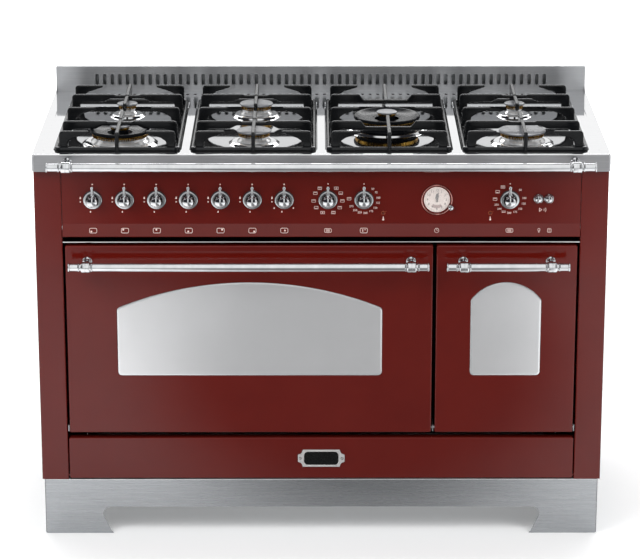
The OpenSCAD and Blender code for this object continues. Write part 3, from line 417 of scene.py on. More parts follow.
PAINT = finish("burgundy_enamel", ((86, 15, 9), (92, 19, 12)), (0.07, 0.12), grain=6, bump=0.012,
               bump_grain=260, IOR=1.42)
# Below about 849 mm the steel is darker: painted shade in the basins under the pan supports, which also
# darkens the lower outer walls.
STEEL_TOP = finish("rolled_stainless", ((238, 239, 240), (245, 245, 246)), (0.03, 0.06), grain=9,
                   stretch=(1, 60, 60), bump=0.006, bump_grain=9, low=(0.8425, 0.8492, (196, 197, 199)),
                   Metallic=1.0)
FRONT_STEEL = finish("front_stainless", ((176, 176, 178), (188, 188, 190)), (0.34, 0.42), grain=12,
                     stretch=(1, 75, 75), bump=0.01, bump_grain=12, Metallic=1.0)
UPSTAND_STEEL = finish("upstand_stainless", ((184, 186, 189), (197, 198, 200)), (0.28, 0.36), grain=12,
                       stretch=(1, 75, 75), bump=0.015, bump_grain=12, Metallic=0.78)
CHROME = finish("chrome", ((218, 220, 222), (230, 231, 233)), (0.02, 0.06), grain=60, Metallic=1.0)
PLINTH_STEEL = finish("plinth_stainless", ((160, 163, 166), (174, 176, 179)), (0.24, 0.32), grain=10,
                      stretch=(1, 60, 60), bump=0.015, bump_grain=10, Metallic=1.0)
SATIN_CHROME = finish("satin_chrome", ((196, 197, 199), (214, 215, 216)), (0.10, 0.16), grain=60,
                      Metallic=1.0)
# The pink tint is a painted reflection of the burgundy panel in the clock ring's chrome.
RED_REFLECTION_CHROME = finish("chrome_painted_red_reflection", ((196, 138, 130), (210, 152, 142)), (0.12, 0.2), grain=60, Metallic=0.9)
POLISHED = finish("polished_strip", ((200, 201, 203), (220, 221, 222)), (0.08, 0.16), grain=30,
                  stretch=(1, 8, 8), Metallic=1.0)
ZINC = finish("galvanised", ((150, 154, 157), (188, 191, 193)), (0.32, 0.52), grain=26, bump=0.12,
              bump_grain=120, Metallic=0.9)
# The lighter edge colour on the pan supports is partly wear and partly a painted highlight along the bars'
# top edges.
IRON = finish("cast_iron_enamel", ((11, 12, 13), (18, 19, 21)), (0.15, 0.22), grain=55, bump=0.05,
              bump_grain=420, edge=(40, 42, 45), Specular_IOR_Level=0.35)
CAVITY = finish("oven_enamel", ((26, 27, 30), (44, 46, 50)), (0.18, 0.30), grain=300, bump=0.05,
                bump_grain=500)
FRAME_BLACK = finish("frame_enamel", ((12, 10, 10), (18, 15, 15)), (0.5, 0.6), grain=120, bump=0.03,
                     Specular_IOR_Level=0.08)
BADGE_METAL = finish("badge_chrome", ((222, 220, 218), (232, 230, 229)), (0.12, 0.18), grain=80, Metallic=0.6)
CAP = finish("cap_enamel", ((88, 89, 92), (102, 103, 107)), (0.26, 0.36), grain=90, bump=0.03,
             bump_grain=420, Specular_IOR_Level=0.3)
RING_CAP = finish("ring_cap_enamel", ((13, 14, 16), (20, 21, 24)), (0.2, 0.3), grain=90, bump=0.03,
                  bump_grain=420, Specular_IOR_Level=0.08)
ALLOY = finish("burner_alloy", ((212, 212, 212), (230, 230, 230)), (0.14, 0.24), grain=80, bump=0.04,
               bump_grain=500, Metallic=0.6)
BRASS = finish("brass", ((184, 138, 54), (212, 170, 82)), (0.18, 0.32), grain=90, Metallic=1.0)
MIRROR = finish("mirror_glass", ((218, 218, 219), (226, 226, 227)), (0.2, 0.26), grain=3, Metallic=0.65)
DARK_GLASS = finish("dark_glass", ((16, 17, 19), (26, 27, 29)), (0.03, 0.07), grain=8, Coat_Weight=0.4,
                    Coat_Roughness=0.02)
BLACK = finish("black_plastic", ((18, 18, 20), (30, 30, 32)), (0.34, 0.5), grain=120, bump=0.1,
               bump_grain=600)
CREAM = finish("dial_enamel", ((228, 212, 204), (238, 226, 218)), (0.25, 0.38), grain=160)
HAND = finish("hand_paint", ((24, 15, 14), (34, 23, 22)), (0.3, 0.4), grain=300)
PRINT = finish("panel_print", ((226, 196, 187), (236, 208, 200)), (0.4, 0.55), grain=300)
AMBER_PRINT = finish("amber_print", ((160, 74, 34), (176, 88, 44)), (0.4, 0.55), grain=300)
DIAL_PRINT = finish("dial_print", ((78, 70, 66), (92, 84, 80)), (0.4, 0.55), grain=300)
DIAL_TINT = finish("dial_tint", ((150, 122, 116), (164, 136, 130)), (0.4, 0.55), grain=300)
BADGE_BLACK = finish("badge_enamel", ((11, 13, 13), (18, 20, 20)), (0.2, 0.3), grain=120, bump=0.03,
                     Specular_IOR_Level=0.2)
AMBER = finish("pilot_lens", ((92, 30, 15), (104, 38, 20)), (0.12, 0.2), grain=260,
               Transmission_Weight=0.2, IOR=1.45)
GLASS = finish("clear_glass", ((244, 238, 236), (250, 246, 244)), (0.02, 0.04), grain=12,
               Alpha=0.16, IOR=1.5)
ELEMENT = finish("element_sheath", ((92, 90, 86), (128, 122, 112)), (0.32, 0.46), grain=90, bump=0.08,
                 Metallic=0.8)

CAD_FINISH = {  # the CAD nodes that show; the others are replaced by pieces
    "rear_cover": ZINC, "base_tray": ZINC, "front_frame": FRAME_BLACK, "storage_box": FRAME_BLACK,
    "fan_motor": ZINC, "oven_fan": ZINC, "main_cavity": CAVITY, "small_cavity": CAVITY,
    "oven_elements": ELEMENT, "oven_racks": CHROME, "gas_rail": ZINC, "burner_pipes": ZINC,
    "oven_switches": BLACK, "door_hinges": ZINC, "main_inner_glass": DARK_GLASS,
    "small_inner_glass": DARK_GLASS}
for name, material in CAD_FINISH.items():
    nodes[name].data.materials.clear()
    nodes[name].data.materials.append(material)

# Stage

camera = bpy.data.cameras.new("camera")
camera.lens = 157.9
camera.sensor_width = 36
view = bpy.data.objects.new("camera", camera)
view.location = (-0.0134, -5.9, 2.295)
view.rotation_euler = (math.radians(90 - 16.95), 0, -0.0019)
scene.collection.objects.link(view)
scene.camera = view
scene.view_settings.view_transform = "Standard"


def shade_spot(tree, centre, radii):
    """1 inside an oval on the floor, falling softly to 0 at its rim."""
    coords = tree.nodes.new("ShaderNodeTexCoord")
    mapping = tree.nodes.new("ShaderNodeMapping")
    mapping.vector_type = "TEXTURE"
    mapping.inputs["Location"].default_value = (*centre, 0)
    mapping.inputs["Scale"].default_value = (*radii, 1)
    oval = tree.nodes.new("ShaderNodeTexGradient")
    oval.gradient_type = "SPHERICAL"
    tree.links.new(coords.outputs["Object"], mapping.inputs["Vector"])
    tree.links.new(mapping.outputs["Vector"], oval.inputs["Vector"])
    return map_range(tree, oval.outputs["Fac"], 0, 0.45, soft=True)


def pale(name, colour, glow, dim):
    """A pale matt ground that shows a little lighter to the camera and in gloss. In gloss, the places in
    front of the object where a camera and its stand would keep the light off get a painted shade, darker
    colour and less glow, as in a real studio."""
    mat = bpy.data.materials.new(name)
    mat.use_nodes = True
    tree = mat.node_tree

    def times(a, b):
        return math_node(tree, "MULTIPLY", a, b)
    shader = tree.nodes["Principled BSDF"]
    shader.inputs["Roughness"].default_value = 0.9
    shader.inputs["Specular IOR Level"].default_value = 0.1
    shader.inputs["Emission Color"].default_value = (1, 1, 1, 1)
    path = tree.nodes.new("ShaderNodeLightPath").outputs
    near, far = shade_spot(tree, (0.1, -1.6), (0.68, 1.6)), shade_spot(tree, (0, -3.1), (1.0, 1.7))
    # painted shade: in gloss the ground is darker and glows less inside the two ovals
    gloss_painted_shade = times(times(math_node(tree, "MAXIMUM", near, far), path["Is Glossy Ray"]), dim)
    ground = mixed(tree, gloss_painted_shade, (colour, colour, colour, 1), (0, 0, 0, 1))
    tree.links.new(ground, shader.inputs["Base Color"])
    seen = math_node(tree, "MAXIMUM", path["Is Camera Ray"], path["Is Glossy Ray"])
    seen = math_node(tree, "MAXIMUM", seen, path["Is Transmission Ray"])
    away = math_node(tree, "SUBTRACT", 1, shade_spot(tree, (0, 0), (3.4, 3.0)))
    away = times(times(away, path["Is Camera Ray"]), FAR_GLOW)
    strength = math_node(tree, "ADD", times(math_node(tree, "SUBTRACT", seen, gloss_painted_shade), glow), away)
    tree.links.new(strength, shader.inputs["Emission Strength"])
    return mat


FAR_GLOW = 0.8          # how much lighter the far floor shows to the camera
floor_mesh = bmesh.new()
bmesh.ops.create_grid(floor_mesh, x_segments=1, y_segments=1, size=14)
mesh = bpy.data.meshes.new("floor")
floor_mesh.to_mesh(mesh)
floor_mesh.free()
mesh.materials.append(pale("floor_pale", 0.86, 0.2, 0.8))
floor = bpy.data.objects.new("floor", mesh)
scene.collection.objects.link(floor)

world = bpy.data.worlds.new("studio")
world.use_nodes = True
scene.world = world
tree = world.node_tree
back = tree.nodes["Background"]
path = tree.nodes.new("ShaderNodeLightPath").outputs
# The studio as gloss and glass see it: white, with black flags beside the camera and overhead, and
# a grey horizon
coords = tree.nodes.new("ShaderNodeTexCoord")
axes = tree.nodes.new("ShaderNodeSeparateXYZ")
tree.links.new(coords.outputs["Generated"], axes.inputs[0])


def rise(value, low, high):
    """0 up to the low value, 1 from the high one, with a soft step between."""
    return map_range(tree, value, low, high, soft=True)


def times(a, b):
    return math_node(tree, "MULTIPLY", a, b)


backward, upward = axes.outputs["Y"], axes.outputs["Z"]
ahead = rise(times(backward, -1), 0.0, 0.2)
leftward, downward = times(axes.outputs["X"], -1), times(upward, -1)
right = times(rise(axes.outputs["X"], 0.1, 0.18), rise(leftward, -0.85, -0.7))
flags = times(ahead, math_node(tree, "MAXIMUM", rise(leftward, 0.1, 0.18), right))
overhead = times(rise(backward, -0.25, -0.12), rise(upward, 0.66, 0.74))
overhead = times(overhead, rise(downward, -0.97, -0.93))
flags = math_node(tree, "MAXIMUM", flags, overhead)
line = times(times(ahead, 0.6), times(rise(upward, 0.0, 0.03), rise(downward, -0.12, -0.08)))
dark = math_node(tree, "MAXIMUM", flags, line)
room = mixed(tree, dark, (1, 1, 1, 1), (0.03, 0.03, 0.035, 1))
gloss = math_node(tree, "MAXIMUM", path["Is Glossy Ray"], path["Is Transmission Ray"])
lit = mixed(tree, gloss, (0.3, 0.31, 0.32, 1), room)
tree.links.new(mixed(tree, path["Is Camera Ray"], lit, (1, 1, 1, 1)), back.inputs["Color"])


def lamp(name, place_at, aim, size, power, mirrored=True):
    light = bpy.data.lights.new(name, "AREA")
    light.shape = "RECTANGLE"
    light.size, light.size_y = size
    light.energy = power
    obj = bpy.data.objects.new(name, light)
    obj.location = place_at
    obj.rotation_euler = (Vector(aim) - Vector(place_at)).to_track_quat("-Z", "Y").to_euler()
    obj.visible_glossy = mirrored
    scene.collection.objects.link(obj)


lamp("key", (-1.8, -2.2, 2.9), (0, 0, 0.5), (2.2, 1.6), 52, False)
lamp("fill", (2.2, -2.2, 2.3), (0, 0, 0.5), (1.4, 2.0), 26, False)
lamp("left_box", (-1.5, -1.3, 1.3), (-0.2, -0.2, 0.5), (0.7, 1.2), 9, False)
lamp("right_box", (1.5, -1.3, 1.3), (0.2, -0.2, 0.5), (0.7, 1.2), 9, False)
lamp("top", (0, 0.4, 3.1), (0, 0, 0.8), (2.6, 0.9), 50, False)
lamp("ground", (0, 4.6, 3.4), (0, 4.0, 0), (6.0, 2.5), 230)

# Cabinet

for side, name in ((-1, "left"), (1, "right")):
    path = [(BODY_X, BACK_D), (BODY_X, FRONT_D), (OPEN_X, FRONT_D), (OPEN_X, FRAME_D), (544, FRAME_D),
            (544, 20), (BODY_X - 2, 20), (BODY_X - 2, BACK_D)]
    bm = bmesh.new()
    slab(bm, [soften([(side * x, d) for x, d in path], 2.4, 5)], PLINTH_H, SKIRT_Z, "top", 0.3, 1)
    x0, x1 = sorted((side * 560, side * 598))
    brick(bm, (x0, 22, SKIRT_Z - 2), (x1, BACK_D - 3, SKIRT_Z - 0.3), 0.2)
    lathe(bm, [(0, 0), (2.2, 0), (2.5, 0.4), (2.5, 14), (2, 14.5), (0, 14.5)],
          (side * 544, 22.5, 135), "left" if side > 0 else "right", 24)
    piece("side_shell_" + name, bm, "cooker", PAINT, ["side_panel_" + name])


def toe(half, waist_more=20, top=61.0, r=16.0, foot_r=3.6):
    """Half of the opening between two feet: (distance from the middle, height) from the floor up."""
    waist = half + waist_more
    pts = []
    for k in range(5):                                   # the foot's tip
        t = math.radians(90 * k / 4)
        pts.append((half - foot_r * 0.2 + foot_r * (1 - math.cos(t)) * 0.9, foot_r * math.sin(t)))
    cx, cz = waist - r, top - r
    for k in range(13):                                  # the round waist
        t = math.radians(-28 + 118 * k / 12)
        pts.append((cx + r * math.cos(t), cz + r * math.sin(t)))
    return pts


def plinth_side(u0, u1, mid, half):
    """The outline of a plinth wall with its two feet, softened at the floor."""
    left = [(mid - a, b) for a, b in toe(half)]
    right = [(mid + a, b) for a, b in reversed(toe(half))]
    return [(u0 + 3, 0), *left, *right, (u1 - 3, 0), (u1, 3), (u1, PLINTH_H), (u0, PLINTH_H), (u0, 3)]


bm = bmesh.new()
slab(bm, [plinth_side(-PLINTH_X, PLINTH_X, 0, 449.5)], 21, 23, "front", 0.7, 2)
for side in (-1, 1):
    a, b = sorted((side * PLINTH_X, side * (PLINTH_X - 2)))
    slab(bm, [plinth_side(21, 560, 290.5, 124.5)], a, b, "side", 0.7, 2)
    a, b = sorted((side * (PLINTH_X - 1), side * 561))
    brick(bm, (a, 22, 124.2), (b, 559.5, 125.9), 0.3)
brick(bm, (1 - PLINTH_X, 22, 124.2), (PLINTH_X - 1, 66, 125.9), 0.3)
piece("plinth_shell", bm, "cooker", PLINTH_STEEL, ["plinth"])
bm = bmesh.new()
pipe(bm, [(-593, 20.9, 124.3), (593, 20.9, 124.3)], 1.5, 12)
piece("plinth_bead", bm, "cooker", POLISHED)

bm = bmesh.new()
screw = [(0, 0), (20, 0), (22, 1.5), (22, 7), (20.5, 9.6), (12, 10.6), (9, 14), (8, 16)]
screw += [(8 - (0.8 if k % 2 else 0), 17 + 1.25 * k) for k in range(72)] + [(8, 108), (8, 126), (0, 126)]
for x in (-540, 540):
    for d in (90, 520):
        lathe(bm, screw, (x, d, 0), "up", 32)
piece("foot_screws", bm, "cooker", BLACK, ["levelling_feet"])

# Control panel

bm = bmesh.new()
path = [(FRAME_D, SKIRT_Z), (PANEL_D, SKIRT_Z), (PANEL_D, FOLD_Z), (PANEL_D - STRIP_OUT, PANEL_Z),
        (FRAME_D, PANEL_Z), (FRAME_D, PANEL_Z + 2), (16.5, PANEL_Z + 2), (22, FOLD_Z), (22, SKIRT_Z - 2),
        (FRAME_D, SKIRT_Z - 2)]
slab(bm, [soften(path, 1.6, 3)], -PANEL_X, PANEL_X, "side", 0.3, 1)
holes = bmesh.new()


def drill(x, z, r, n):
    lathe(holes, [(0, 0), (r, 0), (r, 12), (0, 12)], (x, 26, z), "front", n)


for x in KNOB_X:
    drill(x, KNOB_Z, 6, 32)
drill(CLOCK_X, KNOB_Z, 27.5, 96)
drill(CROWN_X, CROWN_Z, 3, 24)
for _, x in BUTTONS:
    drill(x, BUTTON_Z, 10.2, 48)
for x in LAMP_X:
    drill(x, LAMP_Z, 3.1, 24)
cut(bm, holes)
piece("fascia", bm, "cooker", PAINT, ["control_panel"])

bm = bmesh.new()
ledge = soften([(18, 654.5), (18, 657.5), (64, 657.5), (64, 654.5)], 1.2, 3)
slab(bm, [ledge], -PANEL_X, PANEL_X, "side", 0.3, 1)
piece("bright_strip", bm, "cooker", POLISHED, ["trim_strip"])


# Printed marks

def moved(loop, u, v, turn=0.0):
    c, s = math.cos(math.radians(turn)), math.sin(math.radians(turn))
    return [(u + a * c - b * s, v + a * s + b * c) for a, b in loop]


def frame_mark(w, h, r, line):
    return [rounded(-w / 2, -h / 2, w / 2, h / 2, r, 4),
            rounded(line - w / 2, line - h / 2, w / 2 - line, h / 2 - line, max(r - line, 0.2), 4)]


def bar_mark(u, v, w, h):
    w, h = w / 2, h / 2
    return [(u - w, v - h), (u + w, v - h), (u + w, v + h), (u - w, v + h)]


def ring_mark(r, line):
    return [circle(0, 0, r, 24), circle(0, 0, r - line, 24)]


FLAME = [(0, 3.2), (1.0, 1.6), (1.7, 0.2), (1.7, -1.0), (1.0, -2.0), (0, -2.4), (-1.0, -2.0), (-1.6, -1.0),
         (-1.4, 0.3), (-0.6, 1.2)]
face, strip, dots, amber = [], [], [], []


def add(target, loops, u, v, turn=0.0, scale=1.0):
    target.extend(moved([(a * scale, b * scale) for a, b in loop], u, v, turn) for loop in loops)


def around(x, r, turn, rz=None):
    """The place (across, height) at a clock angle in degrees round a control."""
    t = math.radians(turn)
    return x + r * math.sin(t), KNOB_Z + (rz or r) * math.cos(t)


BURNER_DOT = [(-4.2, -2.4), (-4.2, 2.4), (-1.2, 2.4), (-1.2, -2.4), (3.6, 2.4), (4.2, -2.4), (1.6, 0)]
for x, (du, dv) in zip(KNOB_X, BURNER_DOT):
    add(face, [circle(0, 0, 1.6, 12)], x, KNOB_Z + 33)
    add(face, [FLAME], x - 25.5, KNOB_Z + 4, 0, 1.1)
    add(face, [circle(0, 0, 1.5, 12)], x - 25.5, KNOB_Z - 4.5)
    add(face, [FLAME], x - 5, KNOB_Z - 26, 0, 0.8)
    add(strip, frame_mark(16, 10.6, 3, 0.9), x, STRIP_Z)
    add(dots, [circle(0, 0, 1.9, 14)], x + du * 0.9, STRIP_Z + dv * 0.8)
for u in (19, -21):
    add(face, [FLAME], KNOB_X[6] + u, KNOB_Z - 18, 0, 0.8)

OVEN_MARKS = [  # bars inside a small frame: above, below, both, grill, fan cross
    [bar_mark(0, 1.4, 5.4, 0.9)], [bar_mark(0, -1.4, 5.4, 0.9)],
    [bar_mark(0, 1.4, 5.4, 0.9), bar_mark(0, -1.4, 5.4, 0.9)],
    [bar_mark(-1.4, 1.2, 1.8, 1.0), bar_mark(1.4, 1.2, 1.8, 1.0)],
    [bar_mark(0, 0, 3.4, 0.9), bar_mark(0, 1.2, 0.9, 1.2), bar_mark(0, -1.2, 0.9, 1.2)]]


def oven_mark(target, u, v, kind):
    add(target, frame_mark(8.6, 6.2, 0.8, 0.75) + OVEN_MARKS[kind], u, v)


add(face, [circle(0, 0, 1.3, 12)], KNOB_X[7], KNOB_Z + 34)
for k, turn in enumerate((35, 62, 95, 125, 158, 202, 235, 265, 298, 325)):
    oven_mark(face, *around(KNOB_X[7], 30, turn), (k * 2 + 4) % 5)
for x in (KNOB_X[8], KNOB_X[9]):
    add(face, [circle(0, 0, 1.3, 12)], x, KNOB_Z + 34)
oven_mark(face, KNOB_X[8] - 31, KNOB_Z + 2, 3)
for k, turn in enumerate((272, 303, 331)):
    oven_mark(face, *around(KNOB_X[9], 31, turn), k)
OVEN_SIGN = frame_mark(15.4, 8.8, 3.2, 0.8) + [bar_mark(0, v, 8.4, 0.8) for v in (1.9, 0, -1.9)]
STRIP_MARKS = [  # loops and place across: ovens, thermostat, clock, timer
    (OVEN_SIGN, KNOB_X[7]), (OVEN_SIGN, KNOB_X[9]),
    (frame_mark(16, 10.6, 3.4, 0.9) + [bar_mark(-2.2, 0, 1.6, 5.4), bar_mark(2.6, 1.5, 3.4, 1.0)], KNOB_X[8]),
    (ring_mark(4.8, 0.7) + [bar_mark(0, 1.5, 0.7, 2.6), bar_mark(1.6, 0, 2.1, 0.7)], CLOCK_X),
    (frame_mark(8.6, 8.6, 2, 0.8) + [bar_mark(0, 1.4, 4.4, 0.8), bar_mark(0, -1.4, 4.4, 0.8)],
     BUTTONS[1][1] + 2)]
for loops, x in STRIP_MARKS:
    add(strip, loops, x, STRIP_Z)
add(strip, ring_mark(2.8, 0.8) + [bar_mark(0, -3.9, 2.8, 0.9), bar_mark(0, -5.3, 2.2, 0.8)],
    BUTTONS[0][1] + 2, STRIP_Z + 1.5)
add(face, [[(-9, -4.5), (-2.4, 0), (-9, 4.5)], [(-7.9, -2.6), (-4.2, 0), (-7.9, 2.6)]], 464, KNOB_Z - 22)
for r in (4.4, 8.0):                                     # the waves beside the bell sign
    wave = arc(0, 0, r, -38, 39, 8) + arc(0, 0, r - 0.8, -38, 39, 8)[::-1]
    add(face, [wave], 461.5, KNOB_Z - 22)
for x in LAMP_X:                                         # thermometer drop under each pilot lamp
    add(face, [circle(0, 0, 2.1, 16)], x, KNOB_Z - 43)
    add(face, [bar_mark(0, 0, 1.8, 4.2)], x, KNOB_Z - 38.8)
    add(amber, ring_mark(4.2, 0.5) + [bar_mark(5.6, 3.6, 2.0, 0.6)], x, LAMP_Z)

bm = bmesh.new()
slab(bm, face, *MARK_D)
MAIN_HEAT = ((38, 50), (58, 75), (82, 100), (104, 125), (128, 150), (150, 175), (174, 200), (197, 225),
             (218, 250), (240, 275))
SMALL_HEAT = ((45, 50), (84, 100), (108, 125), (134, 150), (158, 175), (182, 200), (205, 225), (226, 240),
              (247, 250))
for x, marks in ((KNOB_X[8], MAIN_HEAT), (KNOB_X[9], SMALL_HEAT)):
    for turn, degrees in marks:
        letters(bm, str(degrees), *around(x, 30, turn, 29), 6.0, *MARK_D)
piece("panel_marks", bm, "cooker", PRINT, weighted=False)
bm = bmesh.new()
slab(bm, amber, 19.84, 20.05)
piece("pilot_marks", bm, "cooker", AMBER_PRINT, weighted=False)
bm = bmesh.new()
slab(bm, strip, -0.14, 0.05)
slab(bm, dots, -0.14, 0.05)
for v in bm.verts:                                       # laid on the leaning strip
    v.co.y += PANEL_D - (FOLD_Z - v.co.z) * STRIP_OUT / (FOLD_Z - PANEL_Z)
piece("strip_marks", bm, "cooker", PRINT, weighted=False)

# Knobs

ROSETTE = [(5.2, 0), (19.3, 0), (19.5, 0.3), (19.5, 2.2), (19.2, 3.0), (18.6, 3.4), (18.0, 3.5), (15.0, 3.8),
           (14.5, 3.6), (14.2, 3.0), (14.1, 1.8), (9.0, 1.7), (5.2, 1.7)]
bm = bmesh.new()
for x in KNOB_X:
    lathe(bm, ROSETTE, (x, PANEL_D, KNOB_Z), "front", 72, closed=True)
piece("rosette_set", bm, "cooker", SATIN_CHROME, ["knob_rosettes"])
# A thin black ring round the foot of each rosette: painted shade, a dark part where the rosette's contact
# shadow falls on the panel.
bm = bmesh.new()
for x in KNOB_X:
    lathe(bm, [(19.3, 0), (20.3, 0), (20.3, 0.5), (19.3, 0.7)], (x, PANEL_D, KNOB_Z), "front", 72,
          closed=True)
piece("rosette_shadow_rings", bm, "cooker", BLACK)

HUB = [(0, 2.5), (12.2, 2.5), (13.1, 2.9), (13.5, 3.6), (13.5, 5.4), (13.1, 6.2), (11.4, 6.8), (9.8, 8.0),
       (9.6, 10.4), (9.7, 12.6), (10.2, 14.6), (10.8, 16.8), (11.1, 19.0), (11.2, 21.2), (11.15, 22.6)]
HUB += arc(0, 13.43, 15.07, 44, 90, 5) + [(0, 28.5)]
LEVER = [(-9.0, 9.0), (-4.6, 11.6), (-2.9, 15.0), (-2.3, 19.0), (-2.3, 24.0), (-3.0, 28.0), (-3.3, 30.0),
         (-2.4, 31.0), (2.4, 31.0), (3.3, 30.0), (3.0, 28.0), (2.3, 24.0), (2.3, 19.0), (2.9, 15.0),
         (4.6, 11.6), (9.0, 9.0), (7.0, 2.0), (-7.0, 2.0)]
for x, body in zip(KNOB_X, KNOB_BODIES):
    bm = bmesh.new()
    lathe(bm, HUB, (x, PANEL_D, KNOB_Z), "front", 64)
    slab(bm, [[(x + u, KNOB_Z + v) for u, v in soften(LEVER, 1.5, 3)]], 5.0, 11.5, "front", 1.5, 3)
    lathe(bm, [(0, 0), (4, 0), (4, 16.4), (0, 16.4)], (x, 34, KNOB_Z), "front", 24)
    piece(body + "_grip", bm, body + "_body", CHROME, [body])
    # A black ring round each knob's neck: painted shade, a dark part where the neck lies in shade.
    bm = bmesh.new()
    lathe(bm, [(9.3, 6.9), (13.0, 6.9), (13.4, 7.3), (13.4, 10.6), (13.0, 11.4), (12.2, 12.0), (9.3, 12.6)],
          (x, PANEL_D, KNOB_Z), "front", 64, closed=True)
    piece(body + "_neck_shade", bm, body + "_body", FRAME_BLACK)

# Clock

# The clock ring's chrome carries a painted reflection: its pink tint stands for the burgundy panel it
# mirrors.
bm = bmesh.new()
lathe(bm, [(30.3, 0), (32.5, 0), (32.7, 0.3), (32.7, 2.0), (32.3, 2.7), (31.5, 3.0), (30.8, 2.7),
           (30.3, 2.0)], (CLOCK_X, PANEL_D, KNOB_Z), "front", 128, closed=True)
piece("clock_ring", bm, "cooker", RED_REFLECTION_CHROME, ["clock_bezel"])
bm = bmesh.new()
lathe(bm, [(0, -24), (29.0, -24), (29.2, -23.6), (29.2, -2.1), (27.2, -2.0), (27.2, 0.0), (26.9, 0.25),
           (0, 0.3)], (CLOCK_X, PANEL_D, KNOB_Z), "front", 128)
piece("clock_dial", bm, "cooker", CREAM, ["clock_movement"])
bm = bmesh.new()
dial = []
for k in range(60):
    long, thick = (1.6, 0.5) if k % 5 == 0 else (0.9, 0.24)
    dial.append(moved(bar_mark(0, 24.4 - long / 2, thick, long), CLOCK_X, KNOB_Z, -6 * k))
slab(bm, dial, *DIAL_D)
for k in range(1, 13):
    letters(bm, str(k), *around(CLOCK_X, 19.6, 30 * k), 7.4, *DIAL_D)
lathe(bm, [(0, 0), (1.2, 0), (1.2, 2.3), (0, 2.5)], (CLOCK_X, PANEL_D, KNOB_Z), "front", 24)
piece("dial_marks", bm, "cooker", DIAL_PRINT, weighted=False)
bm = bmesh.new()
segment = arc(CLOCK_X, KNOB_Z, 18.4, -52, -131, -6) + arc(CLOCK_X, KNOB_Z, 12.0, -130, -51, 6)
slab(bm, [segment], 19.5, 19.66)
piece("dial_segment", bm, "cooker", DIAL_TINT, weighted=False)


def hand(name, body, low, high, tip, tail, width, node, turn):
    bm = bmesh.new()
    loop = soften([(-width / 2, -tail), (-width * 0.9, tip * 0.35), (-width * 0.35, tip * 0.8), (0, tip),
                   (width * 0.35, tip * 0.8), (width * 0.9, tip * 0.35), (width / 2, -tail)], 0.6, 2)
    eye = circle(CLOCK_X, KNOB_Z, 1.35, 24)
    slab(bm, [moved(loop, CLOCK_X, KNOB_Z, turn), eye], low, high, "front", 0.1, 1)
    piece(name, bm, body, HAND, [node])


hand("hour_pointer", "hour_hand_body", 19.0, 19.4, 13.5, 5.5, 3.4, "hour_hand", 4)
hand("minute_pointer", "minute_hand_body", 18.1, 18.5, 18.0, 5.0, 3.0, "minute_hand", -9)
bm = bmesh.new()
DOME = arc(0, 0, 26.6, 3, 90, 6, 6.0)
inner = [(r * 0.968, max(h - 0.8, 0.35)) for r, h in reversed(DOME)]
lathe(bm, [(26.6, 0.35), *DOME, (0, 6.0), (0, 5.2), *inner, (25.75, 0.35)],
      (CLOCK_X, PANEL_D, KNOB_Z), "front", 96, closed=True)
piece("clock_crystal", bm, "cooker", GLASS, ["clock_glass"])
bm = bmesh.new()
crown = [(0, 3.5), (4.9, 3.5), (5.5, 4.1), (5.5, 9.6), (5.2, 10.4), (4.4, 11.2), (3.0, 12.1), (1.4, 12.5),
         (0, 12.5)]
lathe(bm, crown, (CROWN_X, PANEL_D, CROWN_Z), "front", 48)
for x, z in circle(CROWN_X, CROWN_Z, 5.2, 20):
    pipe(bm, [(x, PANEL_D - h, z) for h in (4.3, 9.4)], 0.45, 6)
lathe(bm, [(0, -8), (2.4, -8), (2.4, 3.6), (0, 3.6)], (CROWN_X, PANEL_D, CROWN_Z), "front", 24)
piece("clock_crown", bm, "clock_knob_body", CHROME, ["clock_knob"])

for name, x in BUTTONS:
    bm = bmesh.new()
    lathe(bm, [(0, -13), (8.8, -13), (9.8, -12.4), (9.8, 2.6), (9.5, 3.2), (8.9, 3.5), (8.7, 4.2)]
          + arc(0, 4.2, 8.7, 8, 90, 8, 7.2) + [(0, 11.4)], (x, PANEL_D, BUTTON_Z), "front", 64)
    piece(name + "_cap", bm, name + "_body", CHROME, [name])
bm = bmesh.new()
for x in LAMP_X:
    lathe(bm, [(0, -8), (2.7, -8), (3.0, -7.6), (3.0, 0.2), (2.6, 0.8), (1.6, 1.3), (0, 1.5)],
          (x, PANEL_D, LAMP_Z), "front", 32)
piece("pilot_domes", bm, "cooker", AMBER, ["pilot_lenses"])

# Hob

def level(loop, z):
    return [(x, d, z) for x, d in loop]


def hob_loop(inset, r):
    return rounded(inset - HOB_X, inset + 0.5, HOB_X - inset, HOB_D - inset, r, 6)


def land_loop(grow):
    return rounded(20 - HOB_X - grow, 15 - grow, HOB_X - 20 + grow, 553 + grow, 30 + grow, 10)


def basin_loop(cx, grow):
    """The basin under one pan support; its sides and front are steeper than its back."""
    side = 0.2 * grow
    half = BASIN_HALF + side
    return rounded(cx - half, BASIN_FRONT - side, cx + half, BASIN_BACK + grow, 25 + side, 10)


bm = bmesh.new()
walls = skin(bm, [level(hob_loop(0, 5), SKIRT_Z)]
             + [level(hob_loop(2 * (1 - math.cos(math.radians(t))), 5 - t / 90),
                      HOB_Z - 2 + 2 * math.sin(math.radians(t))) for t in range(0, 91, 15)])
step = skin(bm, [level(land_loop(grow), HOB_Z - drop) for grow, drop in (
    (0.5, 0), (0.1, 0.05), (-0.3, 0.25), (-0.7, 0.45), (-1.1, 0.5))])
fill(bm, [walls[-1], step[0]])
slope = [(1.2, 0), (0.6, 0.1), (0.2, 0.4), (-0.2, 0.9), (-3.0, 5.7), (-3.4, 6.4), (-3.9, 6.9), (-4.6, 7.3),
         (-5.6, 7.5)]
basins = [skin(bm, [level(basin_loop((i - 1.5) * GRATE_PITCH, grow), LAND_Z - drop) for grow, drop in slope])
          for i in range(4)]
slots = [[bm.verts.new((x + u, 545 + v, LAND_Z)) for u, v in rounded(-3.5, -4.2, 3.5, 4.2, 2.4, 3)]
         for x in VENTS]
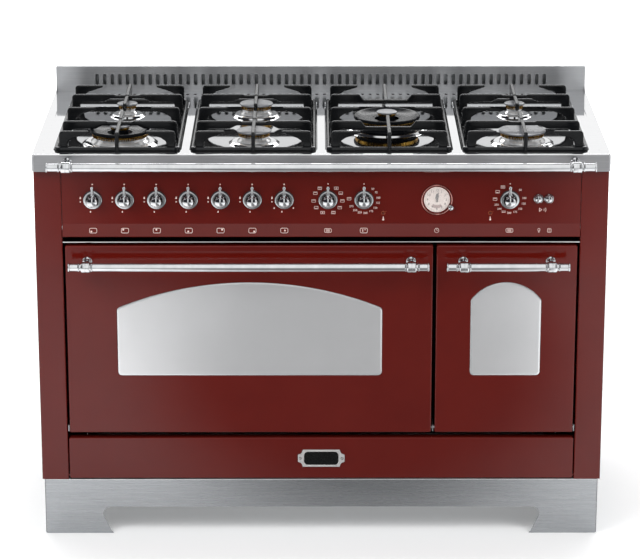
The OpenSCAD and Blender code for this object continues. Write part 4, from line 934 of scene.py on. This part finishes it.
fill(bm, [step[-1]] + [basin[0] for basin in basins] + slots)
seats = {}
for x, d, cap, hole in BURNERS:
    top, base = cap + 10, cap + 17
    rings = skin(bm, [level(circle(x, d, r, 72), PAN_Z + h) for r, h in (
        (base + 0.8, 0), (base, 0.15), (base - 1.6, 0.8), (top + 2.0, 3.5), (top + 0.6, 4.2),
        (top - 0.6, 4.5), (cap - 4, 4.5), (cap - 4.6, 4.2), (cap - 4.6, 2.6))])
    seats.setdefault(round(x / GRATE_PITCH + 1.5), []).append(rings[0])
for i, basin in enumerate(basins):
    fill(bm, [basin[-1]] + seats[i])
piece("hob_press", bm, "cooker", STEEL_TOP, ["hob_top"], solid=1.2)
bm = bmesh.new()
slab(bm, [rounded(-596, SKIRT_Z + 0.2, 596, HOB_Z - 1.8, 1.2, 3)], 0.02, 0.9, "front", 0.25, 2)
piece("hob_front", bm, "cooker", FRONT_STEEL)

# Upstand: a folded sheet with lipped slots, a plain back and sloping ends

def slot_loop(x, grow):
    r = 3.9 + grow
    return arc(x, 885.6, r, 0, 181, 20) + arc(x, 867.7, r, 180, 361, 20)


bm = bmesh.new()
sheet = rounded(-597.6, HOB_Z, 597.6, 906.6, 1.0, 3)
slab(bm, [sheet] + [slot_loop(x, 0.1) for x in VENTS], 578.3, 579.5, "front", 0.25, 1)
for x in VENTS:
    slab(bm, [slot_loop(x, 1.7), slot_loop(x, -0.1)], 577.3, 578.6, "front", 0.6, 3)
    slab(bm, [slot_loop(x, 0.6), slot_loop(x, 0)], 578.9, 583.0, "front", 0.1, 1)
lip = [(578.9, 907), (600, 907), (600, 902), (598.8, 902), (598.8, 905.8), (578.9, 905.8)]
slab(bm, [soften(lip, 1.2, 4)], -597.6, 597.6, "side", 0.2, 1)
for side in (-1, 1):
    a, b = sorted((side * 598, side * 596.6))
    cheek = [(599.9, HOB_Z), (599.9, 906.8), (578.2, 906.8), (577.6, 862), (566, HOB_Z)]
    slab(bm, [cheek], a, b, "side", 0.3, 2)
piece("upstand", bm, "cooker", UPSTAND_STEEL, ["backsplash"])
bm = bmesh.new()
slab(bm, [rounded(-596.4, HOB_Z, 596.4, 904, 1.0, 3)], 598.2, 599.4, "front", 0.2, 1)
for x in (-560, -187, 187, 560):
    lathe(bm, [(0, -1.2), (3.4, -1.2), (3.8, -0.8), (3.8, 0.2), (3.2, 0.6), (0, 0.6)],
          (x, 599.4, 896), "back", 20)
piece("upstand_back", bm, "cooker", ZINC)

# Burners: cups with ribbed skirts, brass port rings and caps

cups, rings, caps, darks, big = (bmesh.new() for _ in range(5))


def port_ring(x, d, z0, z1, outer, inner, teeth, bore, n):
    """A brass ring with gas ports: its edge steps between two radii."""
    edge = []
    for k in range(teeth):
        for f, r in ((0.0, outer), (0.5, outer), (0.56, inner), (0.94, inner)):
            t = 2 * math.pi * (k + f) / teeth
            edge.append((x + r * math.cos(t), d + r * math.sin(t)))
    slab(rings, [edge, circle(x, d, bore, n)], z0, z1, "top")


for x, d, cap, hole in BURNERS:
    wok = cap == 71
    z = BURNER_Z
    cup = [(cap - inset, h) for inset, h in (
        (8, 0), (1.6, 0), (1, 0.5), (1, 1.6), (1.8, 2.4), (5.0, 5.2), (6.0, 6.6), (5.8, 9.0), (4.9, 12.5),
        (4.0, 15.4), (4.3, 16.0), (8, 16.0))]
    body = darks if wok else cups
    lathe(body, cup, (x, d, z), "up", 96, closed=True, ribs=(int(cap * 0.55), 0.35, 6.5, 15.5))
    teeth = int(2 * math.pi * cap / 4.2)
    port_ring(x, d, z + 12.4, z + 18.9, cap - 3.5, cap - 6.0, teeth, cap - 9, 48)
    lathe(rings, [(cap - 9, 18.8), (cap - 3.2, 18.8), (cap - 3.0, 19.2), (cap - 3.0, 20.0), (cap - 9, 20.0)],
          (x, d, z), "up", 96, closed=True)
    cz = z + 20.0
    if hole:
        outside = [(cap - inset, h) for inset, h in (
            (1.5, 0), (0.4, 0.5), (0, 1.4), (0, 4.6), (0.4, 5.8), (1.4, 6.7), (2.4, 7.2), (3.8, 7.2),
            (5.2, 6.7), (10, 4.4), (17, 1.9), (24, 0.3))]
        inside = [(hole - inset, h) for inset, h in (
            (2, -0.6), (4.4, -0.9), (4.8, -1.4), (4.6, -2.2), (0, -2.2))]
        lathe(big, [(hole, 0), *outside, *inside], (x, d, cz), "up", 128, closed=True)
        lathe(darks, [(0, 0), (hole - 3, 0), (hole - 3, 3), (hole - 9, 3.4), (18, 4.5), (16.6, 9),
                      (17.2, 15), (18.4, 26), (0, 26.6)], (x, d, z), "up", 64, ribs=(14, 0.3, 8, 25))
        port_ring(x, d, z + 26.6, z + 29.7, 19.6, 17.6, 32, 14, 32)
        lathe(rings, [(14, 29.6), (19.8, 29.6), (20, 30.1), (19.8, 30.8), (14, 30.8)], (x, d, z), "up", 64,
              closed=True)
        cap, cz = 22, z + 30.8
    lathe(caps, [(0, 0), (cap - 1.5, 0), (cap - 0.4, 0.5), (cap, 1.4), (cap, 2.4), (cap - 0.4, 3.2),
                 (cap - 1.4, 3.8), (cap * 0.8, 4.3), (cap * 0.5, 4.5), (0, 4.5)], (x, d, cz), "up", 96)
BURNER_PARTS = [
    (cups, "burner_skirts", "burner_alloy", ALLOY, ["burner_cups"]),
    (darks, "wok_skirt", "cap_enamel", RING_CAP, ()), (rings, "port_rings", "brass", BRASS, ["flame_rings"]),
    (caps, "cap_set", "cap_enamel", CAP, ["burner_caps"]), (big, "ring_caps", "cap_enamel", RING_CAP, ())]
for bm, name, slot_name, material, replaced in BURNER_PARTS:
    piece(name, bm, "cooker", material, replaced)

# Pan supports

LEG, TOP, BAR = 121.0, 890.0, 845.0


def grate(i, wok):
    cx, cd, hw, hl = (i - 1.5) * GRATE_PITCH, 253.0, 131.0, 223.0
    bm = bmesh.new()

    def rib(outline, at, plane, r, bevel):
        slab(bm, [soften(outline, r, 4)], at - 4, at + 4, plane, bevel, 3)
    outer = rounded(cx - hw, cd - hl, cx + hw, cd + hl, 13, 6)
    inner = rounded(cx - hw + 10, cd - hl + 10, cx + hw - 10, cd + hl - 10, 6, 6)
    slab(bm, [outer, inner], BAR, BAR + 12, "top", 4.5, 4)
    for u in (-hw + 14, hw - 14):
        for v in (-hl + 5, hl - 5):
            lathe(bm, [(0, -3), (3.4, -3), (4.2, -2.2), (4.2, 3), (0, 3)], (cx + u, cd + v, BAR), "up", 24)
    leg = [(-LEG, BAR + 2), (-LEG, TOP - 7), (-LEG + 2, TOP - 2), (-LEG + 7, TOP)]
    finger = leg + [(-60, TOP), (-60, TOP - 5), (-LEG + 30, TOP - 15), (-LEG + 20, TOP - 22),
                    (-LEG + 16, BAR + 2)]
    if wok:
        top = [(-58, TOP), (-48, TOP - 12.5), (0, TOP - 12.5)]
        under = [(0, TOP - 21), (-45, TOP - 21), (-LEG + 30, TOP - 19)]
    else:
        top = [(-30, TOP), (-26, TOP - 2), (0, TOP - 2)]
        under = [(0, TOP - 10), (-37, TOP - 10), (-51, TOP - 17)]
    half = leg + top
    low = under + [(-LEG + 24, TOP - 18), (-LEG + 18, TOP - 22), (-LEG + 16, BAR + 2)]
    bridge = half + [(-u, v) for u, v in reversed(half[:-1])] + [(-u, v) for u, v in reversed(low[1:])] + low
    for dy in (-211, 0, 211):
        for s in (1, -1):
            rib([(cx + s * u, v) for u, v in finger], cd + dy, "front", 5, 2.8)
    for dy in (-123, 123):
        rib([(cx + u, v) for u, v in bridge], cd + dy, "front", 5, 2.8)
    front, tip = -hl - 6, -70 if wok else -119
    spine = [(front, BAR - 0.5), (front, TOP - 6), (front + 5, TOP), (tip, TOP), (tip, TOP - 9),
             (tip - 8, TOP - 10), (front + 26, TOP - 18), (front + 14, BAR + 12), (front + 14, BAR - 0.5)]
    short = [(33, TOP - 17), (33, TOP), (98, TOP), (101, TOP - 2), (123, TOP - 2), (123, TOP - 10),
             (85, TOP - 10), (77, TOP - 17)]
    for s in (1, -1):
        rib([(cd + s * v, z) for v, z in spine], cx, "side", 4, 2.6)
        if not wok:
            rib([(cd + s * v, z) for v, z in short], cx, "side", 3, 2.6)
    node = "grate_%d" % (i + 1)
    piece("pan_support_%d" % (i + 1), bm, node + "_body", IRON, [node], angle=38)


for i in range(4):
    grate(i, i == 2)

# Rail and handles

def bar_set(name, body, mid, face_d, z, length, inset, node):
    """A turned bar held by two barrels on posts."""
    bm = bmesh.new()
    d, x0 = face_d - 45.0, mid - length / 2
    end = [(0, 0), (7.6, 0), (9.6, 0.7), (10.2, 1.6), (10.2, 2.8), (9.4, 3.6), (8.5, 4.2), (8.4, 7.0),
           (8.5, inset - 16.5), (9.9, inset - 15.8), (10.2, inset - 14.6), (9.9, inset - 13.6),
           (8.2, inset - 13.0), (8.0, inset - 10.6)]
    collar = [(8.0, inset + 10.6), (10.2, inset + 11.0), (10.4, inset + 12.4), (10.0, inset + 13.8),
              (9.0, inset + 14.4)]
    half = end + collar
    lathe(bm, half + [(r, length - h) for r, h in reversed(half)], (x0, d, z), "right", 48)
    for x in (x0 + inset, x0 + length - inset):
        side = [(0, 10.4), (9.4, 10.4), (10.4, 9.9), (11.6, 8.4), (11.9, 7.4), (11.9, 1.2), (11.5, 0.8)]
        barrel = [(r, -h) for r, h in side] + [(r, h) for r, h in reversed(side)]
        lathe(bm, barrel, (x, d, z), "right", 48)
        post = [(0, 0.05), (9.4, 0.05), (10, 0.5), (10, 1.8), (9.2, 2.7), (7.4, 3.1), (6.4, 4.2), (5.8, 6.2),
                (5.4, 9), (5.4, 28), (6.2, 31), (7.6, 33.2), (8.4, 34), (8.4, 40), (0, 40)]
        lathe(bm, post, (x, face_d, z), "front", 40)
    piece(name, bm, body, CHROME, [node])


MAIN_MID, SMALL_MID = (MAIN_X0 + MAIN_X1) / 2, (SMALL_X0 + SMALL_X1) / 2
bar_set("front_rail", "cooker", 0, 0, RAIL_Z, 1133, 41, "towel_rail")
bar_set("main_bar", "main_oven_door", MAIN_MID, DOOR_D, HANDLE_Z, 753, 37, "main_handle")
bar_set("small_bar", "small_oven_door", SMALL_MID, DOOR_D, HANDLE_Z, 257.5, 37, "small_handle")

# Doors

def skirted(bm, x0, z0, x1, z1, front, depth, window=None, r=2.4):
    """A pressed front with a soft edge, four sides and an opening."""
    rings = []
    for t in range(0, 91, 18):
        a = math.radians(t)
        inset = r * (1 - math.sin(a))
        rings.append([(x, front + r * (1 - math.cos(a)), z)
                      for x, z in rounded(x0 + inset, z0 + inset, x1 - inset, z1 - inset, 3.2 - inset, 6)])
    rings.append([(x, front + depth, z) for x, z in rounded(x0, z0, x1, z1, 3.2, 6)])
    edge = skin(bm, rings)
    if window:
        loops = []
        for t in range(0, 91, 30):
            a = math.radians(t)
            d = front + 1.2 * (1 - math.cos(a))
            loops.append([(x, d, z) for x, z in window(1.2 * (1 - math.sin(a)))])
        loops.append([(x, front + 2.0, z) for x, z in window(0)])
        lip = skin(bm, loops)
        fill(bm, [edge[0], lip[0]])
    else:
        fill(bm, [edge[0]])


def oven_door(tag, body, x0, x1, mid, w, side_h):
    bm = bmesh.new()

    def window(grow):
        return soften(arch(mid, WINDOW_Z, w, side_h, WINDOW_H, grow), 10 + grow, 6)
    skirted(bm, x0, DOOR_Z, x1, DOOR_TOP, DOOR_D, 41.8, window)
    piece(tag + "_door_shell", bm, body, PAINT, [tag + "_door"], solid=1.4)
    bm = bmesh.new()
    steps = [(6, 21), (6, 17.3), (0.1, 17.2), (-0.5, 16.2), (-0.8, 15.9), (-1.4, 15.75), (-3.6, 15.35),
             (-4.2, 15.3)]
    bands = skin(bm, [[(x, d, z) for x, z in window(grow)] for grow, d in steps])
    fill(bm, [bands[-1]])
    fill(bm, [bands[0]])
    piece(tag + "_window_pane", bm, body, MIRROR, [tag + "_window"])
    bm = bmesh.new()
    x2, x3, z2, z3 = x0 + 18, x1 - 18, DOOR_Z + 18, DOOR_TOP - 18
    slab(bm, [rounded(x2, z2, x3, z3, 12), rounded(x2 + 7, z2 + 7, x3 - 7, z3 - 7, 8)], 60.6, 62.6, "front",
         0.9, 2)
    piece(tag + "_door_gasket", bm, body, BLACK)


oven_door("main", "main_oven_door", MAIN_X0, MAIN_X1, MAIN_MID, 560, 150.5)
oven_door("small", "small_oven_door", SMALL_X0, SMALL_X1, SMALL_MID, 149, 168)

bm = bmesh.new()
skirted(bm, -539.5, 128.5, 539.5, 220.5, 17, 20, None, 1.6)
piece("flap_shell", bm, "flap", PAINT, ["storage_flap"], solid=1.4)

# Bare badge: a bright frame with scooped corners round a black plate, and a screw in each ear

bm = bmesh.new()
BADGE_Z = 174.5
quarter = [(50, 0), (50, 7.4), (48.6, 8.7)]
quarter += arc(49.0, 17.6, 8.6, 262, 184, -11, 8.8) + [(39.2, 19.25), (37.5, 19.25)]
loop = quarter + [(-x, z) for x, z in reversed(quarter)]
loop += [(x, -z) for x, z in reversed(loop) if abs(z) > 0.01]
opening = rounded(-37, -15, 37, 15, 9)
slab(bm, [moved(loop, 0, BADGE_Z), moved(opening, 0, BADGE_Z)], 14.0, 17.0, "front", 0.7, 2)
for x in (-45, 45):
    lathe(bm, [(0, 1.2), (1.9, 1.2), (2.3, 1.8), (2.3, 2.9), (2.0, 3.4), (0, 3.7)],
          (x, 17.6, BADGE_Z), "front", 24)
piece("badge_frame", bm, "flap", BADGE_METAL, ["badge_plate"])
bm = bmesh.new()
slab(bm, [moved(rounded(-37.4, -15.4, 37.4, 15.4, 9.2), 0, BADGE_Z)], 15.1, 17.0, "front", 0.3, 1)
for x in (-45, 45):
    lathe(bm, [(2.4, 0), (3.1, 0), (3.1, 0.12), (2.4, 0.12)], (x, 14.0, BADGE_Z), "front", 24, closed=True)
    slab(bm, [moved(bar_mark(0, 0, 0.7, 3.4), x, BADGE_Z, 25)], 13.85, 14.4)
piece("badge_field", bm, "flap", BADGE_BLACK)
